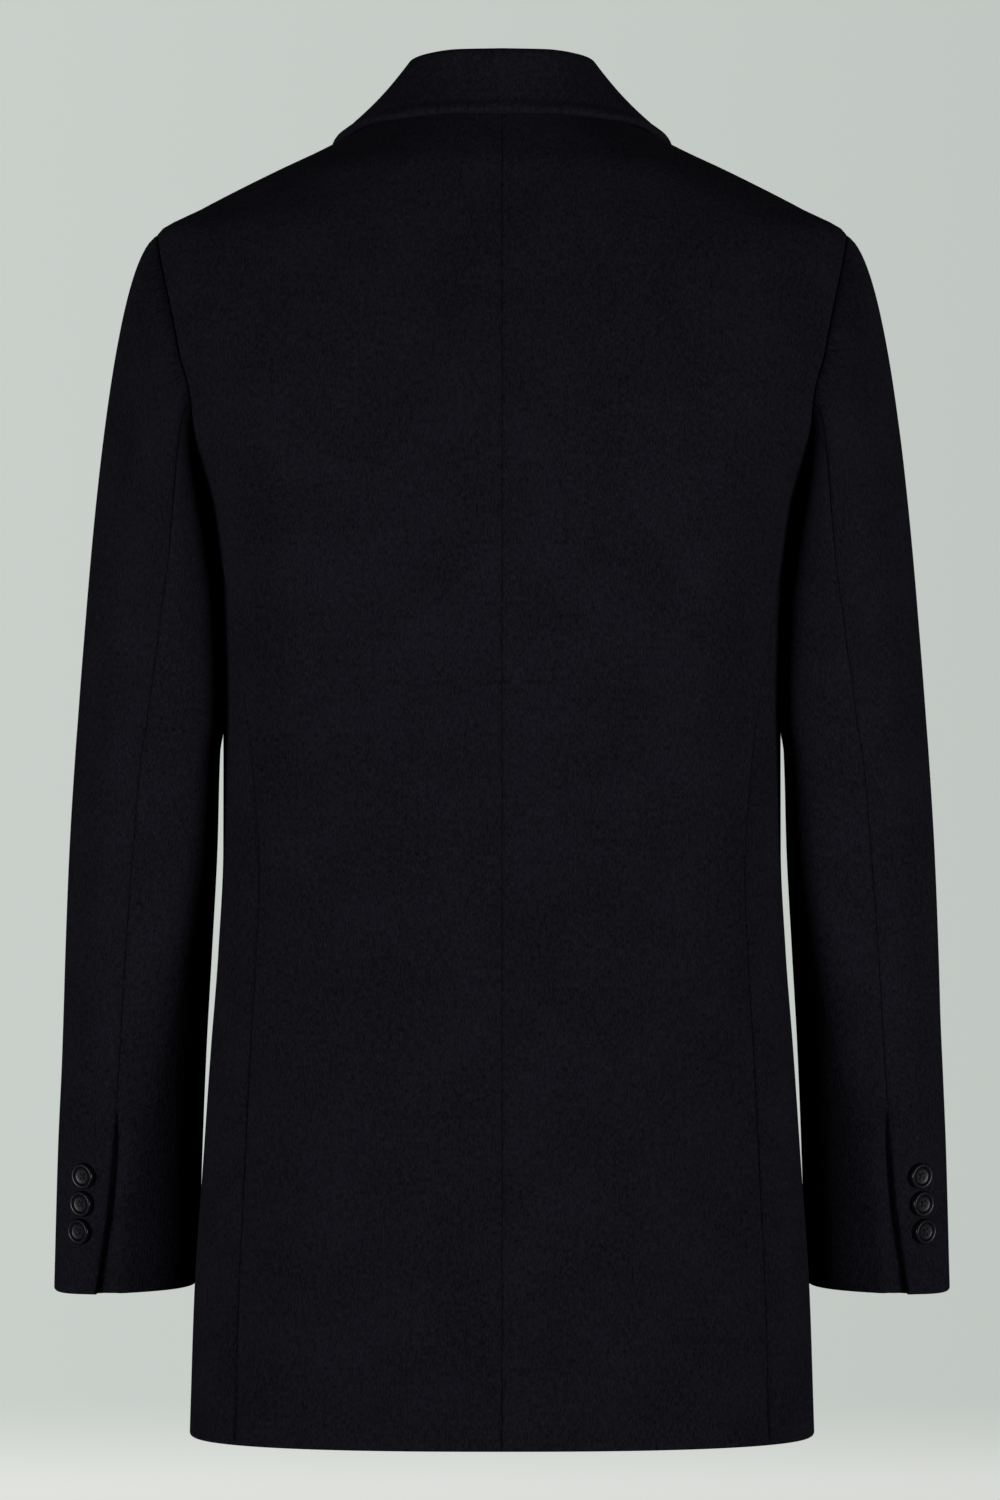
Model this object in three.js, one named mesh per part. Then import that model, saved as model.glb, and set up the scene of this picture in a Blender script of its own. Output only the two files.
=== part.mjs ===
// A winter coat: a short, single-breasted men's overcoat in heavy wool, shown filled out as it is worn.
// Every cloth piece is a wall of its own thickness, and the pieces meet at seams SEAM wide.
// Millimetres, +Z up. The front faces -Y and the wearer's left is +X.
// The origin is the middle of the neck opening, level with the points where the shoulder seams meet the neck.
import * as THREE from "three";

// Sizes of the whole coat
const NECK_TOP = 0;
const SHOULDER_TIP = -75;
const ARMHOLE_BOTTOM = -254;
const BREAK_POINT = -300;
const HEM = -853;
const CLOTH = 2.5;
const SEAM = 0.3;
const SIDE_SHARPENS = 28;
const FRONT_OVERLAP = 22;

const NAVY_WOOL = { color: 0x14141a, roughness: 0.95, metalness: 0 };
const BLACK_HORN = { color: 0x101014, roughness: 0.3, metalness: 0 };

// Outline of the body at each level. half is its half width at the sides, along the shoulder seam and under the
// arm, and soft the width that the back and the front round off to, away from the sides. back and front are how
// far their middles lie from the origin. roundBack and roundFront say how square each is, 2 being an ellipse.
const BODY = [
  { z: 0, half: 79, soft: 79, back: 64, front: -30, roundBack: 2.3, roundFront: 2.1 },
  { z: -21, half: 119, soft: 119, back: 80, front: -50, roundBack: 2.3, roundFront: 2.1 },
  { z: -32, half: 142.5, soft: 142, back: 87, front: -62, roundBack: 2.35, roundFront: 2.1 },
  { z: -45, half: 169, soft: 165, back: 91, front: -73, roundBack: 2.4, roundFront: 2.1 },
  { z: -58, half: 194, soft: 184, back: 95.5, front: -84, roundBack: 2.45, roundFront: 2.1 },
  { z: -75, half: 223.5, soft: 203, back: 101.5, front: -95, roundBack: 2.5, roundFront: 2.1 },
  { z: -100, half: 227.5, soft: 217, back: 109.5, front: -107, roundBack: 2.5, roundFront: 2.1 },
  { z: -150, half: 228, soft: 223, back: 123, front: -124, roundBack: 2.5, roundFront: 2.15 },
  { z: -200, half: 214, soft: 210, back: 130, front: -133, roundBack: 2.5, roundFront: 2.2 },
  { z: -227, half: 200, soft: 201, back: 130.5, front: -136, roundBack: 2.5, roundFront: 2.2 },
  { z: -254, half: 189, soft: 194, back: 129, front: -138, roundBack: 2.5, roundFront: 2.25 },
  { z: -292, half: 185, soft: 188, back: 125, front: -138, roundBack: 2.5, roundFront: 2.3 },
  { z: -330, half: 182.8, soft: 184.5, back: 120, front: -137, roundBack: 2.5, roundFront: 2.3 },
  { z: -409, half: 181, soft: 181.5, back: 111, front: -135, roundBack: 2.5, roundFront: 2.35 },
  { z: -473, half: 181, soft: 181.3, back: 111, front: -135, roundBack: 2.5, roundFront: 2.35 },
  { z: -539, half: 184, soft: 184, back: 118, front: -137, roundBack: 2.5, roundFront: 2.4 },
  { z: -604, half: 189, soft: 189, back: 125, front: -139, roundBack: 2.5, roundFront: 2.4 },
  { z: -669, half: 193.7, soft: 193.7, back: 130, front: -141, roundBack: 2.5, roundFront: 2.4 },
  { z: -766, half: 200.4, soft: 200.4, back: 134, front: -144, roundBack: 2.5, roundFront: 2.4 },
  { z: -853, half: 203, soft: 203, back: 136, front: -146, roundBack: 2.5, roundFront: 2.4 },
];

// The shoulder seam runs a little behind the middle of the body, and the side ridge moves to the middle below.
const RIDGE = [
  { z: 0, y: 5 },
  { z: -75, y: 5 },
  { z: -254, y: 1 },
  { z: -330, y: 0 },
  { z: -853, y: 0 },
];

// Where the panels end, as a turn round the body in degrees: 0 is the middle of the back, 90 is the side.
const ARMHOLE_BACK = [
  { z: -75, turn: 90 },
  { z: -81, turn: 85.2 },
  { z: -113, turn: 79 },
  { z: -152, turn: 74.1 },
  { z: -178, turn: 72.4 },
  { z: -201, turn: 74 },
  { z: -222, turn: 77 },
  { z: -238, turn: 80.5 },
  { z: -249, turn: 84 },
  { z: -254, turn: 87 },
];
const ARMHOLE_FRONT = [
  { z: -75, turn: 90 },
  { z: -82, turn: 94 },
  { z: -105, turn: 98.5 },
  { z: -145, turn: 103.5 },
  { z: -185, turn: 106.5 },
  { z: -212, turn: 106 },
  { z: -233, turn: 102.5 },
  { z: -247, turn: 95.5 },
  { z: -254, turn: 87 },
];
const SIDE_SEAM = [
  { z: -254, turn: 87 },
  { z: -275, turn: 80 },
  { z: -305, turn: 74.8 },
  { z: -347, turn: 72 },
  { z: -455, turn: 66.7 },
  { z: -560, turn: 64.4 },
  { z: -703, turn: 63 },
  { z: -853, turn: 62.6 },
];

// Neckline of a front, from the shoulder seam to the top of the roll line, as its distance from the middle.
const FRONT_NECK = [
  { z: 0, x: 68.5 },
  { z: -18, x: 65 },
  { z: -42, x: 56.5 },
  { z: -65, x: 45 },
  { z: -80, x: 33 },
];

// A smooth line through the rows of a table: slopes that never overshoot a row (Fritsch and Carlson's).
function along(table, column, at, key = "z") {
  const rising = table[1][key] > table[0][key];
  const rows = rising ? table : [...table].reverse();
  const last = rows.length - 1;
  const place = Math.min(Math.max(at, rows[0][key]), rows[last][key]);
  let i = 0;
  while (i < last - 1 && place > rows[i + 1][key]) i += 1;
  const step = (k) => rows[k + 1][key] - rows[k][key];
  const slope = (k) => (rows[k + 1][column] - rows[k][column]) / step(k);
  const tangent = (k) => {
    if (k === 0) return slope(0);
    if (k === last) return slope(last - 1);
    const before = slope(k - 1);
    const after = slope(k);
    return before * after <= 0 ? 0 : (2 * before * after) / (before + after);
  };
  const t = (place - rows[i][key]) / step(i);
  const rise = t * t * (3 - 2 * t);
  const leave = t * (1 - t) * (1 - t) * step(i);
  const arrive = t * t * (t - 1) * step(i);
  const ends = rows[i][column] * (1 - rise) + rows[i + 1][column] * rise;
  return ends + tangent(i) * leave + tangent(i + 1) * arrive;
}

const radians = (degrees) => (degrees * Math.PI) / 180;
const mix = (a, b, t) => a + (b - a) * t;
const smooth = (from, to, at) => {
  const t = Math.min(Math.max((at - from) / (to - from), 0), 1);
  return t * t * (3 - 2 * t);
};
const steps = (count) => Array.from({ length: count + 1 }, (_, i) => i / count);

// Half width of the body for a point this many degrees from its side.
function halfWidth(fromSide, z) {
  return mix(along(BODY, "half", z), along(BODY, "soft", z), smooth(2, SIDE_SHARPENS, fromSide));
}

// A point of the body's outer face: a squared ellipse at each level, wider at the back than at the front.
function bodyPoint(turn, z) {
  const ridge = along(RIDGE, "y", z);
  const s = Math.sin(radians(turn));
  const c = Math.cos(radians(turn));
  const half = halfWidth(Math.abs(((turn + 360) % 180) - 90), z);
  const depth = c > 0 ? along(BODY, "back", z) - ridge : ridge - along(BODY, "front", z);
  const power = along(BODY, c > 0 ? "roundBack" : "roundFront", z);
  const reach = (Math.abs(s / half) ** power + Math.abs(c / depth) ** power) ** (-1 / power);
  return new THREE.Vector3(reach * s, ridge + reach * c, z);
}

// The turn at which the front of the body is x from its middle.
function frontTurn(x, z) {
  const half = along(BODY, "soft", z);
  const depth = along(RIDGE, "y", z) - along(BODY, "front", z);
  const power = along(BODY, "roundFront", z);
  const forward = depth * (1 - Math.min(Math.abs(x) / half, 1) ** power) ** (1 / power);
  const turn = (Math.atan2(x, -forward) * 180) / Math.PI;
  return turn < 0 ? turn + 360 : turn;
}

// The direction straight out of the body's face.
function bodyNormal(turn, z) {
  const nudge = 0.5;
  const round = bodyPoint(turn + nudge, z).sub(bodyPoint(turn - nudge, z));
  const low = Math.max(z - nudge, HEM);
  const high = Math.min(z + nudge, NECK_TOP);
  const up = bodyPoint(turn, high).sub(bodyPoint(turn, low));
  return up.cross(round).normalize();
}

// A closed wall from a grid of outer points and the direction out at each. The inner face lies a thickness
// below, and four strips close the edges. Columns run to the left as seen from outside, and rows run down.
function wall(outer, out, thickness) {
  const rows = outer.length;
  const columns = outer[0].length;
  const position = [];
  for (const depth of [0, thickness]) {
    outer.forEach((row, i) => {
      row.forEach((point, j) => {
        const p = point.clone().addScaledVector(out[i][j], -depth);
        position.push(p.x, p.y, p.z);
      });
    });
  }
  const face = (i, j) => i * columns + j;
  const back = (i, j) => rows * columns + face(i, j);
  const index = [];
  const quad = (a, b, c, d) => index.push(a, c, b, a, d, c);
  for (let i = 0; i + 1 < rows; i += 1) {
    for (let j = 0; j + 1 < columns; j += 1) {
      quad(face(i, j), face(i + 1, j), face(i + 1, j + 1), face(i, j + 1));
      quad(back(i, j), back(i, j + 1), back(i + 1, j + 1), back(i + 1, j));
    }
  }
  for (let j = 0; j + 1 < columns; j += 1) {
    quad(face(0, j), face(0, j + 1), back(0, j + 1), back(0, j));
    quad(face(rows - 1, j + 1), face(rows - 1, j), back(rows - 1, j), back(rows - 1, j + 1));
  }
  for (let i = 0; i + 1 < rows; i += 1) {
    quad(face(i + 1, 0), face(i, 0), back(i, 0), back(i + 1, 0));
    quad(face(i, columns - 1), face(i + 1, columns - 1), back(i + 1, columns - 1), back(i, columns - 1));
  }
  const geometry = new THREE.BufferGeometry();
  geometry.setAttribute("position", new THREE.Float32BufferAttribute(position, 3));
  geometry.setIndex(index);
  return geometry;
}

// The same wall on the wearer's right: x is turned over, and each triangle with it.
function mirrored(geometry) {
  const other = geometry.clone();
  other.scale(-1, 1, 1);
  const corners = other.getIndex().array;
  for (let k = 0; k < corners.length; k += 3) {
    [corners[k], corners[k + 1]] = [corners[k + 1], corners[k]];
  }
  return other;
}

function piece(name, geometry, finish) {
  const mesh = new THREE.Mesh(geometry, new THREE.MeshStandardMaterial(finish));
  mesh.name = name;
  return mesh;
}

// The level of a point of the armhole, this share of the way from the shoulder tip to its foot.
const armholeLevel = (share) => mix(SHOULDER_TIP, ARMHOLE_BOTTOM, (1 - Math.cos(share * Math.PI)) / 2);

// Levels of the panels' rows: close on the shoulder, and at both ends of the armhole.
const SHOULDER_ROWS = 6;
const ARMHOLE_ROWS = 9;
const SKIRT_ROWS = 16;
const SKIRT_EASE = 1.3;
const ROLL_TOP = FRONT_NECK[FRONT_NECK.length - 1];
const levels = [
  ...steps(SHOULDER_ROWS).map((t) => mix(NECK_TOP, SHOULDER_TIP, t)),
  ROLL_TOP.z,
  ...steps(ARMHOLE_ROWS).slice(2).map(armholeLevel),
  ...steps(SKIRT_ROWS).slice(1).map((t) => mix(ARMHOLE_BOTTOM, HEM, t ** SKIRT_EASE)),
];

// The edge that a back or a front turns to the arm: shoulder seam, armhole, then side seam.
function armEdge(armhole, z) {
  if (z >= SHOULDER_TIP) return 90;
  return z >= ARMHOLE_BOTTOM ? along(armhole, "turn", z) : along(SIDE_SEAM, "turn", z);
}

// A seam takes half of SEAM from the piece on each side of it, as a turn at this level.
function seamTurn(turn, z) {
  const p = bodyPoint(turn, z);
  return (SEAM / 2 / Math.hypot(p.x, p.y - along(RIDGE, "y", z))) * (180 / Math.PI);
}

function panel(columns, startTurn, endTurn, sink = () => 0) {
  const outer = [];
  const out = [];
  for (const z of levels) {
    const from = startTurn(z) + seamTurn(startTurn(z), z);
    const to = endTurn(z) - seamTurn(endTurn(z), z);
    const turns = steps(columns).map((t) => mix(from, to, t));
    const normals = turns.map((turn) => bodyNormal(turn, z));
    out.push(normals);
    outer.push(turns.map((turn, j) => bodyPoint(turn, z).addScaledVector(normals[j], -sink(turn, z))));
  }
  return wall(outer, out, CLOTH);
}

// The edge that a front turns to the middle: neckline, roll line, then the straight front edge.
function frontEdgeX(z) {
  if (z >= ROLL_TOP.z) return along(FRONT_NECK, "x", z);
  if (z >= BREAK_POINT) return mix(ROLL_TOP.x, -FRONT_OVERLAP, (ROLL_TOP.z - z) / (ROLL_TOP.z - BREAK_POINT));
  return -FRONT_OVERLAP;
}

// The right front passes under the left: one wall deeper down the buttoned edge, and deeper again behind the
// foot of the left roll line, where its own lapel lies between the two.
const UNDERLAP = { cloth: 3.3, lapel: 10.5, wide: 34, clear: 75 };
function underlap(turn, z) {
  const reach = bodyPoint(turn, z).x;
  const lapel = smooth(-375, -315, z) * smooth(-115, -190, z);
  const depth = mix(UNDERLAP.cloth * smooth(-100, -160, z), UNDERLAP.lapel, lapel);
  return depth * smooth(UNDERLAP.clear, UNDERLAP.wide, reach);
}

const BACK_COLUMNS = 9;
const FRONT_COLUMNS = 14;
const frontEdge = (z) => frontTurn(frontEdgeX(z), z);
const back = panel(BACK_COLUMNS, () => 0, (z) => armEdge(ARMHOLE_BACK, z));
const leftFront = panel(FRONT_COLUMNS, (z) => armEdge(ARMHOLE_FRONT, z), frontEdge);
const rightFront = panel(FRONT_COLUMNS, (z) => armEdge(ARMHOLE_FRONT, z), frontEdge, underlap);

// A sleeve hangs from the armhole. Its turn is 0 at the back, 90 on the outside and 270 against the body.
// down is 0 at the armhole seam, 1 at the level of the biceps and 2 at the cuff.
const BICEPS = -320;
const CUFF = { z: -759.8, tilt: 3.5, lowest: 45 };
const SLEEVE = [
  { z: -320, outer: 269.8, inner: 181, depth: 134, middle: 4 },
  { z: -362, outer: 273.3, inner: 180, depth: 130, middle: 2 },
  { z: -394, outer: 275.8, inner: 180.4, depth: 127, middle: 0 },
  { z: -409, outer: 277, inner: 183.2, depth: 125, middle: -1 },
  { z: -474, outer: 281.3, inner: 185.3, depth: 119, middle: -6 },
  { z: -539, outer: 284.3, inner: 189, depth: 113, middle: -13 },
  { z: -604, outer: 286.8, inner: 193, depth: 108, middle: -23 },
  { z: -669, outer: 290.3, inner: 196, depth: 104, middle: -33 },
  { z: -762, outer: 293.6, inner: 199.5, depth: 100, middle: -46 },
];
const SLEEVE_ROUND = { outer: 2.3, inner: 2.7 };
const SLEEVE_CLEAR = 1.6;
const ARMHOLE_GAP = 0.5;

// The elbow seam, and the edge of the cuff's vent below it, where the upper sleeve laps over the under sleeve.
const ELBOW_SEAM = [
  { down: 0, turn: -15 },
  { down: 0.5, turn: -12 },
  { down: 1, turn: -6 },
  { down: 1.1, turn: -2.2 },
  { down: 1.2, turn: 1 },
  { down: 1.44, turn: 5.4 },
  { down: 1.74, turn: 8.8 },
  { down: 1.87, turn: 12.5 },
  { down: 2, turn: 20 },
];
const VENT = { closed: 1.7, sinks: 1.728, top: 1.74, seam: 8.8, underlap: 14, sunk: 3.4 };
const FOREARM_SEAM = [
  { down: 0, turn: 226 },
  { down: 1, turn: 222 },
  { down: 2, turn: 218 },
];

// The armhole goes from the shoulder tip down the back or down the front to its foot.
function armholePoint(turn) {
  const behind = Math.cos(radians(turn)) >= 0;
  const share = Math.abs((behind ? ((turn + 180) % 360) - 180 : turn) - 90) / 180;
  const z = armholeLevel(share);
  return bodyPoint(along(behind ? ARMHOLE_BACK : ARMHOLE_FRONT, "turn", z), z);
}

function sleeveRing(turn, z) {
  const s = Math.sin(radians(turn));
  const c = Math.cos(radians(turn));
  const outer = along(SLEEVE, "outer", z);
  const inner = along(SLEEVE, "inner", z);
  const power = s > 0 ? SLEEVE_ROUND.outer : SLEEVE_ROUND.inner;
  const reach = (Math.abs((2 * s) / (outer - inner)) ** power
    + Math.abs((2 * c) / along(SLEEVE, "depth", z)) ** power) ** (-1 / power);
  return new THREE.Vector3((outer + inner) / 2 + reach * s, along(SLEEVE, "middle", z) + reach * c, z);
}

// Which way the sleeve leaves the armhole seam: out and a little down over the top, straight out underneath.
function leaving(turn) {
  const s = Math.sin(radians(turn));
  const drop = s > 0 ? -0.35 : mix(-0.35, 0.15, -s);
  return new THREE.Vector3(mix(0.8, 1, Math.abs(s)), 0.45 * Math.cos(radians(turn)), drop).normalize();
}

// The body's side pushes the sleeve out wherever it would come closer than SLEEVE_CLEAR.
function clearOfBody(p) {
  if (p.z > ARMHOLE_BOTTOM) return p;
  const ridge = along(RIDGE, "y", p.z);
  const turn = (Math.atan2(p.x, p.y - ridge) * 180) / Math.PI;
  const side = bodyPoint(turn, p.z);
  const share = (Math.hypot(side.x, side.y - ridge) + SLEEVE_CLEAR) / Math.hypot(p.x, p.y - ridge);
  return share > 1 ? new THREE.Vector3(p.x * share, ridge + (p.y - ridge) * share, p.z) : p;
}

function sleevePoint(turn, down) {
  if (down > 1) {
    const end = CUFF.z - CUFF.tilt * Math.cos(radians(turn - CUFF.lowest));
    return clearOfBody(sleeveRing(turn, mix(BICEPS, end, down - 1)));
  }
  const start = armholePoint(((turn % 360) + 360) % 360);
  const way = leaving(turn);
  start.addScaledVector(way, ARMHOLE_GAP);
  const end = sleeveRing(turn, BICEPS);
  const high = (1 + Math.sin(radians(turn))) / 2;
  const leave = way.multiplyScalar(mix(5, 80, high));
  const arrive = sleeveRing(turn, BICEPS - 1).sub(end).multiplyScalar(0.92 * (start.z - BICEPS));
  const t = down;
  const rise = t * t * (3 - 2 * t);
  const p = start.multiplyScalar(1 - rise).addScaledVector(end, rise);
  p.addScaledVector(leave, t * (1 - t) * (1 - t)).addScaledVector(arrive, t * t * (t - 1));
  return clearOfBody(p);
}

// The direction straight out of the sleeve, from its own slopes.
function sleeveNormal(turn, down) {
  const nudge = 0.01;
  const round = sleevePoint(turn + 1, down).sub(sleevePoint(turn - 1, down));
  const low = sleevePoint(turn, Math.min(down + nudge, 2));
  const high = sleevePoint(turn, Math.max(down - nudge, 0));
  return high.sub(low).cross(round).normalize();
}

const HEAD_ROWS = 10;
const ARM_ROWS = 10;
const CUFF_ROWS = 4;
const sleeveRows = [
  ...steps(HEAD_ROWS),
  ...steps(ARM_ROWS).slice(1).map((t) => mix(1, VENT.closed, t)),
  VENT.sinks,
  ...steps(CUFF_ROWS).map((t) => mix(VENT.top, 2, t)),
];

function sleeveSide(shares, fromTurn, toTurn, sink = () => 0) {
  const outer = [];
  const out = [];
  for (const down of sleeveRows) {
    const turns = shares.map((t) => mix(fromTurn(down), toTurn(down), t));
    const normals = turns.map((turn) => sleeveNormal(turn, down));
    out.push(normals);
    outer.push(turns.map((turn, j) => sleevePoint(turn, down).addScaledVector(normals[j], -sink(turn, down))));
  }
  return wall(outer, out, CLOTH);
}

// Half of SEAM, as a turn of the sleeve: the sleeve is narrowest where it meets the armhole.
const sleeveSeamTurn = (down) => (down < 0.3 ? 0.35 : 0.2);
const elbow = (down) => along(ELBOW_SEAM, "turn", down, "down");
const forearm = (down) => along(FOREARM_SEAM, "turn", down, "down");

// One column of the upper sleeve starts at the shoulder tip, TOP_SHARE of the way from the elbow seam.
const BEHIND_TIP = 5;
const BEFORE_TIP = 7;
const UNDER_COLUMNS = 9;
const TOP_SHARE = (90 - elbow(0)) / (forearm(0) - elbow(0));
const upperSleeve = sleeveSide(
  [
    ...steps(BEHIND_TIP).map((t) => t * TOP_SHARE),
    ...steps(BEFORE_TIP).slice(1).map((t) => mix(TOP_SHARE, 1, t)),
  ],
  (down) => elbow(down) + sleeveSeamTurn(down),
  (down) => forearm(down) - sleeveSeamTurn(down),
);
const underSleeve = sleeveSide(
  steps(UNDER_COLUMNS),
  (down) => forearm(down) + sleeveSeamTurn(down),
  (down) => 360 + elbow(down) - sleeveSeamTurn(down) + (down >= VENT.top ? VENT.underlap : 0),
  (turn, down) => (down >= VENT.sinks ? VENT.sunk * smooth(360, 360 + VENT.seam, turn) : 0),
);

// A sewn button: a dished disc with a round rim, turned on a lathe.
function button(diameter, thick) {
  const rim = diameter / 2;
  const profile = [
    [0, 0],
    [rim - 1.4, 0],
    [rim - 0.3, 0.25 * thick],
    [rim, 0.6 * thick],
    [rim - 0.5, 0.93 * thick],
    [rim - 1.2, thick],
    [rim - 2.1, 0.9 * thick],
    [rim - 3, 0.62 * thick],
    [0, 0.55 * thick],
  ].map(([x, y]) => new THREE.Vector2(x, y));
  return new THREE.LatheGeometry(profile, 16).rotateX(Math.PI / 2);
}

// The button's own face turns to look along out, and its back rests on the point at, BUTTON_REST above it.
const BUTTON_REST = 0.35;
function sewnOn(name, geometry, at, out) {
  const mesh = piece(name, geometry, BLACK_HORN);
  mesh.quaternion.setFromUnitVectors(new THREE.Vector3(0, 0, 1), out);
  mesh.position.copy(at).addScaledVector(out, BUTTON_REST);
  return mesh;
}

const CUFF_BUTTON = { diameter: 17, thick: 3.2 };
const CUFF_BUTTONS = [
  { down: 1.824, turn: 31.5 },
  { down: 1.865, turn: 32.5 },
  { down: 1.906, turn: 34 },
];

// A lapel is the front's turned-out facing. It starts at the front's roll line, curls over on a small radius
// and lies on the front, RESTING above it. Its top edge is the gorge, which the collar's end meets.
const FOLD = { thickness: 3.2, inside: 0.5 };
const FOLD_OUTSIDE = FOLD.thickness + FOLD.inside;
const RESTING = 2 * FOLD.inside + FOLD.thickness + 0.4;
const NOTCH_X = 70;
const LAPEL_EDGE = [
  { t: 0, x: 110, z: -118 },
  { t: 0.25, x: 86, z: -160 },
  { t: 0.5, x: 53, z: -203 },
  { t: 0.75, x: 19, z: -250 },
  { t: 1, x: -18, z: -299 },
];
const GORGE_GAP = 0.4;
const ROLL_GAP = 0.5;
const LAPEL_ROWS = 15;
const LAPEL_COLUMNS = 7;
const FOLD_STEPS = 4;

// A point of a front's face, x from the middle and raised above it.
function onFront(x, z, raised, sink = () => 0) {
  const turn = frontTurn(x, z);
  return bodyPoint(turn, z).addScaledVector(bodyNormal(turn, z), raised - sink(turn, z));
}

// A point of a front's own edge, which runs straight between its rows, with the direction out there.
function edgeOfFront(z, sink = () => 0) {
  const below = Math.max(levels.findIndex((level) => level < z), 1);
  const [high, low] = [levels[below - 1], levels[below]];
  const share = (high - z) / (high - low);
  const at = onFront(frontEdgeX(high), high, 0, sink).lerp(onFront(frontEdgeX(low), low, 0, sink), share);
  const out = bodyNormal(frontEdge(high), high).lerp(bodyNormal(frontEdge(low), low), share).normalize();
  return { at, out };
}

// The fold at a point of the roll line: down points along it, across over the front, out away from the body.
function rollFrame(z, sink) {
  const { at, out } = edgeOfFront(z, sink);
  const down = edgeOfFront(z - 1, sink).at.sub(edgeOfFront(z, sink).at).normalize();
  const across = out.clone().cross(down).normalize();
  const centre = at.clone().addScaledVector(across, -ROLL_GAP).addScaledVector(out, FOLD.inside);
  return { centre, across, out: down.clone().cross(across).normalize() };
}

// The outside of a fold, from straight inwards (0) round to straight outwards (1).
function foldPoint({ centre, across, out }, t) {
  const swing = Math.PI * t;
  const p = centre.clone().addScaledVector(across, -FOLD_OUTSIDE * Math.sin(swing));
  return p.addScaledVector(out, -FOLD_OUTSIDE * Math.cos(swing));
}

// The direction out of a grid of points at each of them: across the rows by down the columns.
function gridNormals(grid) {
  const lastRow = grid.length - 1;
  return grid.map((row, i) => row.map((point, j) => {
    const left = row[Math.min(j + 1, row.length - 1)].clone().sub(row[Math.max(j - 1, 0)]);
    const up = grid[Math.max(i - 1, 0)][j].clone().sub(grid[Math.min(i + 1, lastRow)][j]);
    return up.cross(left).normalize();
  }));
}

function lapel(sink) {
  const grid = steps(LAPEL_ROWS).map((t) => {
    const z = mix(ROLL_TOP.z - GORGE_GAP, BREAK_POINT + 1, t);
    const frame = rollFrame(z, sink);
    const fold = steps(2 * FOLD_STEPS).map((turn) => foldPoint(frame, turn));
    const leaf = steps(LAPEL_COLUMNS).slice(1).map((share) => {
      const x = mix(frontEdgeX(z), along(LAPEL_EDGE, "x", t, "t"), share);
      const level = mix(z, along(LAPEL_EDGE, "z", t, "t") - GORGE_GAP * (1 - t), share);
      return onFront(x, level, RESTING, sink);
    });
    return { points: [...fold, ...leaf].reverse(), inwards: frame.out.clone().negate() };
  });
  const rows = grid.map(({ points }) => points);
  const out = gridNormals(rows);
  grid.forEach(({ inwards }, i) => out[i].splice(-1, 1, inwards));
  return wall(rows, out, FOLD.thickness);
}

// The collar is one folded wall: a stand up from the neck seam, a fold, and a fall back down over the shoulders.
// place runs from 0 at the middle of the back to 1 at the gorge, and reaches the shoulder seam at about half way.
const NECK_TURNS = { place: 0.6, turn: 105 };
const COLLAR_FOLD = [
  { place: 0, x: 0, y: 58, z: 38.3 },
  { place: 0.15, x: 28, y: 53, z: 38.3 },
  { place: 0.3, x: 46.5, y: 39, z: 36.8 },
  { place: 0.45, x: 56.3, y: 19, z: 35 },
  { place: 0.515, x: 59, y: 5, z: 32.4 },
  { place: 0.6, x: 61.2, y: -12, z: 26.6 },
  { place: 0.7, x: 59, y: -32, z: 10.6 },
  { place: 0.8, x: 50, y: -54, z: -14 },
  { place: 0.9, x: 41.5, y: -76, z: -45 },
];
const COLLAR_EDGE = [
  { place: 0, turn: 0, z: -3.5, raised: 7 },
  { place: 0.15, turn: 29, z: -4, raised: 6.5 },
  { place: 0.3, turn: 58, z: -6, raised: 5 },
  { place: 0.45, turn: 81, z: -9.5, raised: 4.4 },
  { place: 0.515, turn: 90, z: -13, raised: 4.2 },
  { place: 0.6, turn: 100, z: -20, raised: 4.2 },
  { place: 0.7, turn: 109.5, z: -31, raised: 4.2 },
  { place: 0.8, turn: 119, z: -47, raised: 4.2 },
  { place: 0.9, turn: 127.5, z: -64, raised: 4.2 },
  { place: 1, turn: 135.5, z: -82, raised: 4.2 },
];
const COLLAR_HOLLOW = 1.8;
const COLLAR_ENDS_FROM = 0.8;
const COLLAR_STATIONS = 20;
const STAND_STEPS = 3;
const FALL_STEPS = 6;
const GORGE_STEPS = 4;

function neckEdge(place) {
  if (place <= NECK_TURNS.place) {
    const turn = (NECK_TURNS.turn * place) / NECK_TURNS.place;
    return { at: bodyPoint(turn, NECK_TOP), out: bodyNormal(turn, NECK_TOP) };
  }
  return edgeOfFront(mix(NECK_TOP, ROLL_TOP.z, (place - NECK_TURNS.place) / (1 - NECK_TURNS.place)));
}

// The collar's fall lies on the body's face, never nearer than RESTING.
function restOnBody(p) {
  if (p.z > NECK_TOP) return p;
  const ridge = along(RIDGE, "y", p.z);
  const turn = (Math.atan2(p.x, p.y - ridge) * 180) / Math.PI;
  const face = bodyPoint(turn, p.z);
  const out = bodyNormal(turn, p.z);
  const outside = Math.hypot(p.x, p.y - ridge) - Math.hypot(face.x, face.y - ridge);
  const height = outside * Math.hypot(out.x, out.y);
  return height < RESTING ? p.clone().addScaledVector(out, RESTING - height) : p;
}

const foldLine = [...COLLAR_FOLD, { place: 1, ...rollFrame(ROLL_TOP.z).centre }];
const foldAt = (place) => new THREE.Vector3(...["x", "y", "z"].map((c) => along(foldLine, c, place, "place")));
function collarEdge(place) {
  const turn = along(COLLAR_EDGE, "turn", place, "place");
  const z = along(COLLAR_EDGE, "z", place, "place");
  return bodyPoint(turn, z).addScaledVector(bodyNormal(turn, z), along(COLLAR_EDGE, "raised", place, "place"));
}

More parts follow.
